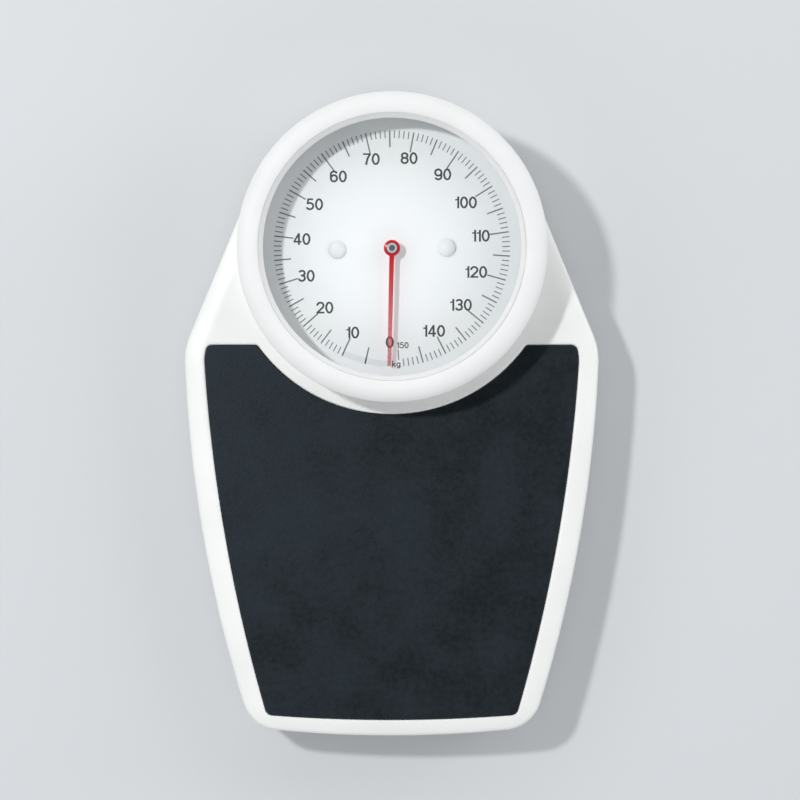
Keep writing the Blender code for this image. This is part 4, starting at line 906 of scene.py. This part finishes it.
def buildPointer():
    p = pointerShape
    blade = boxSolid((0, -p["rootWidth"] / 2, p["low"]), (p["length"], p["rootWidth"] / 2, p["high"]))
    for corner in blade.verts:
        if corner.co.x > 1:
            corner.co.y *= p["tipWidth"] / p["rootWidth"]
    bmesh.ops.bevel(
        blade, geom=[e for e in blade.edges if abs(e.verts[0].co.z - e.verts[1].co.z) < 0.01], offset=p["chamfer"],
        segments=2, profile=0.5, affect="EDGES", material=-1,
    )
    for i in range(8):  # the outer part of the blade bends down towards the scale
        reach = p["droopStart"] + (p["length"] - p["droopStart"]) * i / 8
        bmesh.ops.bisect_plane(
            blade, geom=blade.verts[:] + blade.edges[:] + blade.faces[:], plane_co=(reach, 0, 0), plane_no=(1, 0, 0)
        )
    for corner in blade.verts:
        past = max(0.0, corner.co.x - p["droopStart"]) / (p["length"] - p["droopStart"])
        corner.co.z -= p["droop"] * past**2
    spot = Matrix.Translation((*tower, 0)) @ Matrix.Rotation(zeroTurn, 4, "Z")
    bmesh.ops.transform(blade, verts=blade.verts, matrix=spot)
    boss = turnedSolid(
        [(0, p["bossLow"]), (p["bossRadius"] - 0.2, p["bossLow"]), (p["bossRadius"], p["bossLow"] + 0.2),
         (p["bossRadius"], p["bossHigh"] - 0.45), (p["bossRadius"] - 0.15, p["bossHigh"] - 0.15),
         (p["bossRadius"] - 0.45, p["bossHigh"]), (0, p["bossHigh"])],
        72, tower, closed=False,
    )
    bore = rodSolid((*tower, 80), (*tower, 90), p["bore"], 40)
    shape = combine(boss, ("UNION", blade), ("DIFFERENCE", bore))
    finishPiece("pointerBlade", shape, finishes["pointer"], "pointer", "pointer")
    floor = p["hubHigh"] - p["wellDepth"]
    hub = turnedSolid(
        [(p["boreHub"], p["hubLow"]), (p["hubRadius"] - 0.1, p["hubLow"]), (p["hubRadius"], p["hubLow"] + 0.1),
         (p["hubRadius"], p["hubHigh"] - 0.5), (p["hubRadius"] - 0.18, p["hubHigh"] - 0.15),
         (p["hubRadius"] - 0.55, p["hubHigh"]), (p["wellRadius"] + 0.3, p["hubHigh"]),
         (p["wellRadius"], p["hubHigh"] - 0.25), (p["wellRadius"], floor), (p["boreHub"], floor)],
        64, tower,
    )
    finishPiece("pointerHub", hub, finishes["hub"], "pointer", "pointer_hub", flats=False)
    cap = turnedSolid(
        [(0, floor - 0.15), (p["wellRadius"] - 0.02, floor - 0.15), (p["wellRadius"] - 0.02, floor + 0.1),
         (1.2, floor + 0.25), (0, floor + 0.3)],
        48, tower, closed=False,
    )
    finishPiece("pointerCap", cap, finishes["well"], "pointer", flats=False)


buildMarks(buildNumbers())
buildRestArc()
buildStuds()
buildPointer()
print("dial pieces made")


tray = dict(inset=3.7, sheet=1.2, low=6.0, top=22.0, cornerRound=3.0, wheelSlotTop=15.5, wheelSlotHalf=29.5)
feet = dict(
    front=(77.0, -206.75), rear=(71.938, 184.962), radius=13.0, under=5.7, stud=4.0, over=7.5, head=5.8, headHigh=10.0,
    grooves=(4.0, 8.0), steps=72,
)


def buildTray():
    inset, low, rounding, sheet = tray["inset"], tray["low"], tray["cornerRound"], tray["sheet"]
    outside = [
        (inset + rounding * (1 - math.sin(t)), low + rounding * (1 - math.cos(t)))
        for t in [halfTurn / 2 * i / 6 for i in range(7)]
    ]
    inRadius = rounding - sheet
    inside = [
        (inset + sheet + inRadius * (1 - math.sin(t)), low + sheet + inRadius * (1 - math.cos(t)))
        for t in [halfTurn / 2 * i / 4 for i in range(5)]
    ]
    profile = outside + [(inset + 0.15, tray["top"] - 0.15), (inset + 0.5, tray["top"]), (inset + sheet - 0.3, tray["top"])]
    profile += [(inset + sheet, tray["top"] - 0.3)] + inside[::-1]
    holes = []
    for x, y in (feet["front"], feet["rear"]):
        for side in (-1, 1):
            holes.append(("DIFFERENCE", rodSolid((side * x, y, 2), (side * x, y, 12), feet["stud"] + 0.3, 48)))
    slot = boxSolid((-tray["wheelSlotHalf"], 213.05, 7.5), (tray["wheelSlotHalf"], 240, tray["wheelSlotTop"]))
    shape = combine(ringSolid(coverPath, profile), *holes, ("DIFFERENCE", slot))
    finishPiece("baseTray", shape, finishes["enamel"], "base", "base_plate")


def buildFeet():
    for row in ("front", "rear"):
        for side, away in (("left", -1), ("right", 1)):
            x, y = feet[row]
            radius = feet["radius"]
            sole = [(0, 0)]
            for reach in feet["grooves"]:
                sole += [(reach - 0.6, 0), (reach - 0.35, 0.7), (reach + 0.35, 0.7), (reach + 0.6, 0)]
            profile = sole + [
                (radius - 1.7, 0), (radius - 0.9, 0.2), (radius - 0.25, 0.8), (radius, 1.6), (radius, feet["under"] - 0.4),
                (radius - 0.4, feet["under"]), (feet["stud"], feet["under"]), (feet["stud"], feet["over"]),
                (feet["head"], feet["over"]), (feet["head"] - 0.5, feet["over"] + 1.0), (feet["stud"], feet["headHigh"] - 0.3),
                (feet["stud"] - 0.6, feet["headHigh"]), (0, feet["headHigh"]),
            ]
            shape = turnedSolid(profile, feet["steps"], (away * x, y), closed=False)
            finishPiece(
                f"rubberFoot.{row}.{side}", shape, finishes["foot"], "base", f"foot_{row}_{side}",
                flats=False,
            )


wheel = dict(radius=24.5, centreY=213.05, low=7.9, high=13.4, ridges=40, ridgeDepth=0.9, bore=2.8, web=17.0, webDepth=0.9)


def buildWheel():
    shape = bmesh.new()
    count = wheel["ridges"] * 8
    bmesh.ops.create_circle(shape, cap_ends=True, segments=count, radius=1.0)
    for corner in shape.verts:
        turn = math.atan2(corner.co.y, corner.co.x)
        wave = 0.5 - 0.5 * math.cos(turn * wheel["ridges"])
        reach = wheel["radius"] - wheel["ridgeDepth"] * wave**1.5
        corner.co.x, corner.co.y = reach * math.cos(turn), reach * math.sin(turn)
    bmesh.ops.translate(shape, verts=shape.verts, vec=(0, 0, wheel["low"]))
    pushed = bmesh.ops.extrude_face_region(shape, geom=shape.faces[:])
    raised = [part for part in pushed["geom"] if isinstance(part, bmesh.types.BMVert)]
    bmesh.ops.translate(shape, verts=raised, vec=(0, 0, wheel["high"] - wheel["low"]))
    bmesh.ops.recalc_face_normals(shape, faces=shape.faces)
    rims = [e for e in shape.edges if abs(e.verts[0].co.z - e.verts[1].co.z) < 0.01]
    bmesh.ops.bevel(shape, geom=rims, offset=0.5, segments=2, profile=0.5, affect="EDGES", material=-1, clamp_overlap=True)
    bmesh.ops.translate(shape, verts=shape.verts, vec=(0, wheel["centreY"], 0))
    centre = (0, wheel["centreY"])
    low, high = wheel["low"], wheel["high"]
    dish = [(7.5, high - wheel["webDepth"]), (wheel["web"], high - wheel["webDepth"]), (wheel["web"] + 0.6, high + 1), (6.9, high + 1)]
    under = [(7.5, low + wheel["webDepth"]), (wheel["web"], low + wheel["webDepth"]), (wheel["web"] + 0.6, low - 1), (6.9, low - 1)]
    shape = combine(
        shape,
        ("DIFFERENCE", turnedSolid(dish, 96, centre)),
        ("DIFFERENCE", turnedSolid(under, 96, centre)),
        ("DIFFERENCE", rodSolid((*centre, low - 2), (*centre, high + 2), wheel["bore"], 40)),
    )
    finishPiece("zeroWheel", shape, finishes["wheel"], "zero_wheel", "thumb_wheel")


buildTray()
buildFeet()
buildWheel()
print("base pieces made")


def wireShape(points, radius, steps=14):
    curve = bpy.data.curves.new("wire", "CURVE")
    curve.dimensions = "3D"
    curve.bevel_depth = radius
    curve.bevel_resolution = (steps - 4) // 2
    curve.use_fill_caps = True
    line = curve.splines.new("POLY")
    line.points.add(len(points) - 1)
    for spot, place in zip(line.points, points):
        spot.co = (*place, 1)
    holder = bpy.data.objects.new("wire", curve)
    scene.collection.objects.link(holder)
    bpy.context.view_layer.update()
    mesh = bpy.data.meshes.new_from_object(holder.evaluated_get(bpy.context.evaluated_depsgraph_get()))
    bpy.data.objects.remove(holder)
    bpy.data.curves.remove(curve)
    shape = bmesh.new()
    shape.from_mesh(mesh)
    bpy.data.meshes.remove(mesh)
    bmesh.ops.remove_doubles(shape, verts=shape.verts, dist=0.0005)
    bmesh.ops.recalc_face_normals(shape, faces=shape.faces)
    return shape


# each span of a spring: the body at its foot, the body at its head, and the shares of its turns where it begins and
# ends; the spans are drawn where they lie and ride on no body
springs = dict(
    main_spring=dict(wire=1.3, turns=7, spans=[("nose", "base", 0.0, 0.5), ("base", "hanger", 0.5, 1.0)]),
    retaining_spring_left=dict(wire=0.6, turns=6, spans=[("base", "platform", 0.0, 1.0)]),
    retaining_spring_right=dict(wire=0.6, turns=6, spans=[("base", "platform", 0.0, 1.0)]),
)


def buildSprings():
    for node, facts in springs.items():
        low, high = [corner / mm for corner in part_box(node)]
        wire = facts["wire"]
        radius = max(high.x - low.x, high.y - low.y) / 2 - wire
        middle = (low + high) / 2
        count = facts["turns"] * 36
        words = node.split("_")
        name = words[0] + "".join(word.capitalize() for word in words[1:]) + "Wire"
        for footBody, headBody, begin, close in facts["spans"]:
            first, last = round(count * begin), round(count * close)
            points = []
            for i in range(first, last + 1):
                step = i + 0.04 if i == first > 0 else i  # a hair's breadth between two spans
                turn = 2 * halfTurn * step / 36
                rise = low.z + wire + (high.z - low.z - 2 * wire) * step / count
                points.append((middle.x + radius * math.cos(turn), middle.y + radius * math.sin(turn), rise))
            piece = finishPiece(
                name if first == 0 else name + "Head", wireShape(points, wire, 10), finishes["wire"], None,
                node if first == 0 else None, flats=False,
            )
            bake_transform(piece)


buildSprings()
print("springs made")


nodeFinishes = dict(
    dial=["dial_face"],
    window=["dial_window"],
    brass=["pinion", "rack", "rack_spool_front", "rack_spool_rear", "plate_spacer_front", "plate_spacer_rear"],
    wire=["crank_spring"],
)
named = {node: key for key, nodes in nodeFinishes.items() for node in nodes}
for node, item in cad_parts.items():
    if item.hide_render:
        continue
    material = finishes[named.get(node, "plated")]
    item.data.materials.clear()
    item.data.materials.append(material)
print("carried-over nodes finished")


studio = dict(
    floor="#D3D6D8", floorMottle="#D6D9DB", sky="#D3D6D8", skyTint="#FBFCFF",
    # a soft bright belt round the dome, by the height (0 to 1) at its middle, and dim elsewhere
    belt=1.45, beltHeight=0.55, beltHalf=0.29, dim=0.05, aim=(0.0, 0.07, 0.07),
    # name: power in watts, diameter and place in metres
    lamps=dict(
        keyLamp=(32.0, 0.20, (-1.14, 0.67, 2.47)), backLamp=(3.0, 1.2, (0.0, 2.5, 0.8)),
        sideLamp=(9.5, 1.2, (2.0, 0.7, 0.62)),
    ),
)


def diskLamp(name, power, size, place):
    lamp = bpy.data.lights.new(name, "AREA")
    lamp.shape = "DISK"
    lamp.size = size
    lamp.energy = power
    stand = bpy.data.objects.new(name, lamp)
    stand.location = place
    stand.rotation_euler = (Vector(studio["aim"]) - stand.location).to_track_quat("-Z", "Y").to_euler()
    scene.collection.objects.link(stand)


def buildStudio():
    floorShape = bmesh.new()
    bmesh.ops.create_circle(floorShape, cap_ends=True, segments=64, radius=6.0)
    mesh = bpy.data.meshes.new("studioFloor")
    floorShape.to_mesh(mesh)
    floorShape.free()
    floor = bpy.data.objects.new("studioFloor", mesh)
    scene.collection.objects.link(floor)
    material, tree, place = newMaterial("paintedStudioFloor")  # a matt painted board
    patches = addNode(tree, "TexNoise", {"Vector": place, "Scale": perSize(900), "Detail": 2.0})
    spread = addNode(tree, "MapRange", {"Value": patches, "From Min": 0.3, "From Max": 0.7})
    colour = addNode(
        tree, "Mix",
        {"data_type": "RGBA", 0: spread, 6: hexColour(studio["floor"]), 7: hexColour(studio["floorMottle"])}, 2
    )
    shader = addNode(
        tree, "BsdfPrincipled", {"Base Color": colour, "Roughness": 0.85, "Specular IOR Level": 0.2}
    )
    addNode(tree, "OutputMaterial", {"Surface": shader})
    mesh.materials.append(material)

    world = bpy.data.worlds.new("studioDome")
    scene.world = world
    world.use_nodes = True
    tree = world.node_tree
    tree.nodes.clear()
    direction = addNode(tree, "TexCoord", {}, "Generated")
    height = addNode(tree, "SeparateXYZ", {0: direction}, "Z")
    away = addNode(
        tree, "MapRange",
        {"Value": height, "From Min": studio["beltHeight"], "From Max": studio["beltHeight"] + studio["beltHalf"],
         "clamp": False},
    )
    fade = addNode(tree, "Math", {"operation": "MULTIPLY", 0: away, 1: away})
    bright = addNode(tree, "MapRange", {"Value": fade, "To Min": studio["belt"], "To Max": studio["dim"]})
    dome = addNode(tree, "Background", {"Color": hexColour(studio["skyTint"]), "Strength": bright})
    backdrop = addNode(tree, "Background", {"Color": hexColour(studio["sky"]), "Strength": 1.0})
    seen = addNode(tree, "LightPath", {}, "Is Camera Ray")
    mixed = addNode(tree, "MixShader", {0: seen, 1: dome, 2: backdrop})
    addNode(tree, "OutputWorld", {"Surface": mixed})

    for name, facts in studio["lamps"].items():
        diskLamp(name, *facts)


cameraFacts = dict(place=(-0.0116, 0.0249, 2.480), lens=145.3, sensor=36.0, tilt=-0.31, yaw=0.42)


def buildCamera():
    data = bpy.data.cameras.new("photoCamera")
    data.lens = cameraFacts["lens"]
    data.sensor_width = cameraFacts["sensor"]
    data.clip_start, data.clip_end = 0.05, 50.0
    camera = bpy.data.objects.new("photoCamera", data)
    camera.location = cameraFacts["place"]
    camera.rotation_euler = (math.radians(cameraFacts["tilt"]), math.radians(-cameraFacts["yaw"]), 0)
    scene.collection.objects.link(camera)
    scene.camera = camera


buildStudio()
buildCamera()
scene.view_settings.view_transform = "Standard"
print("studio made")
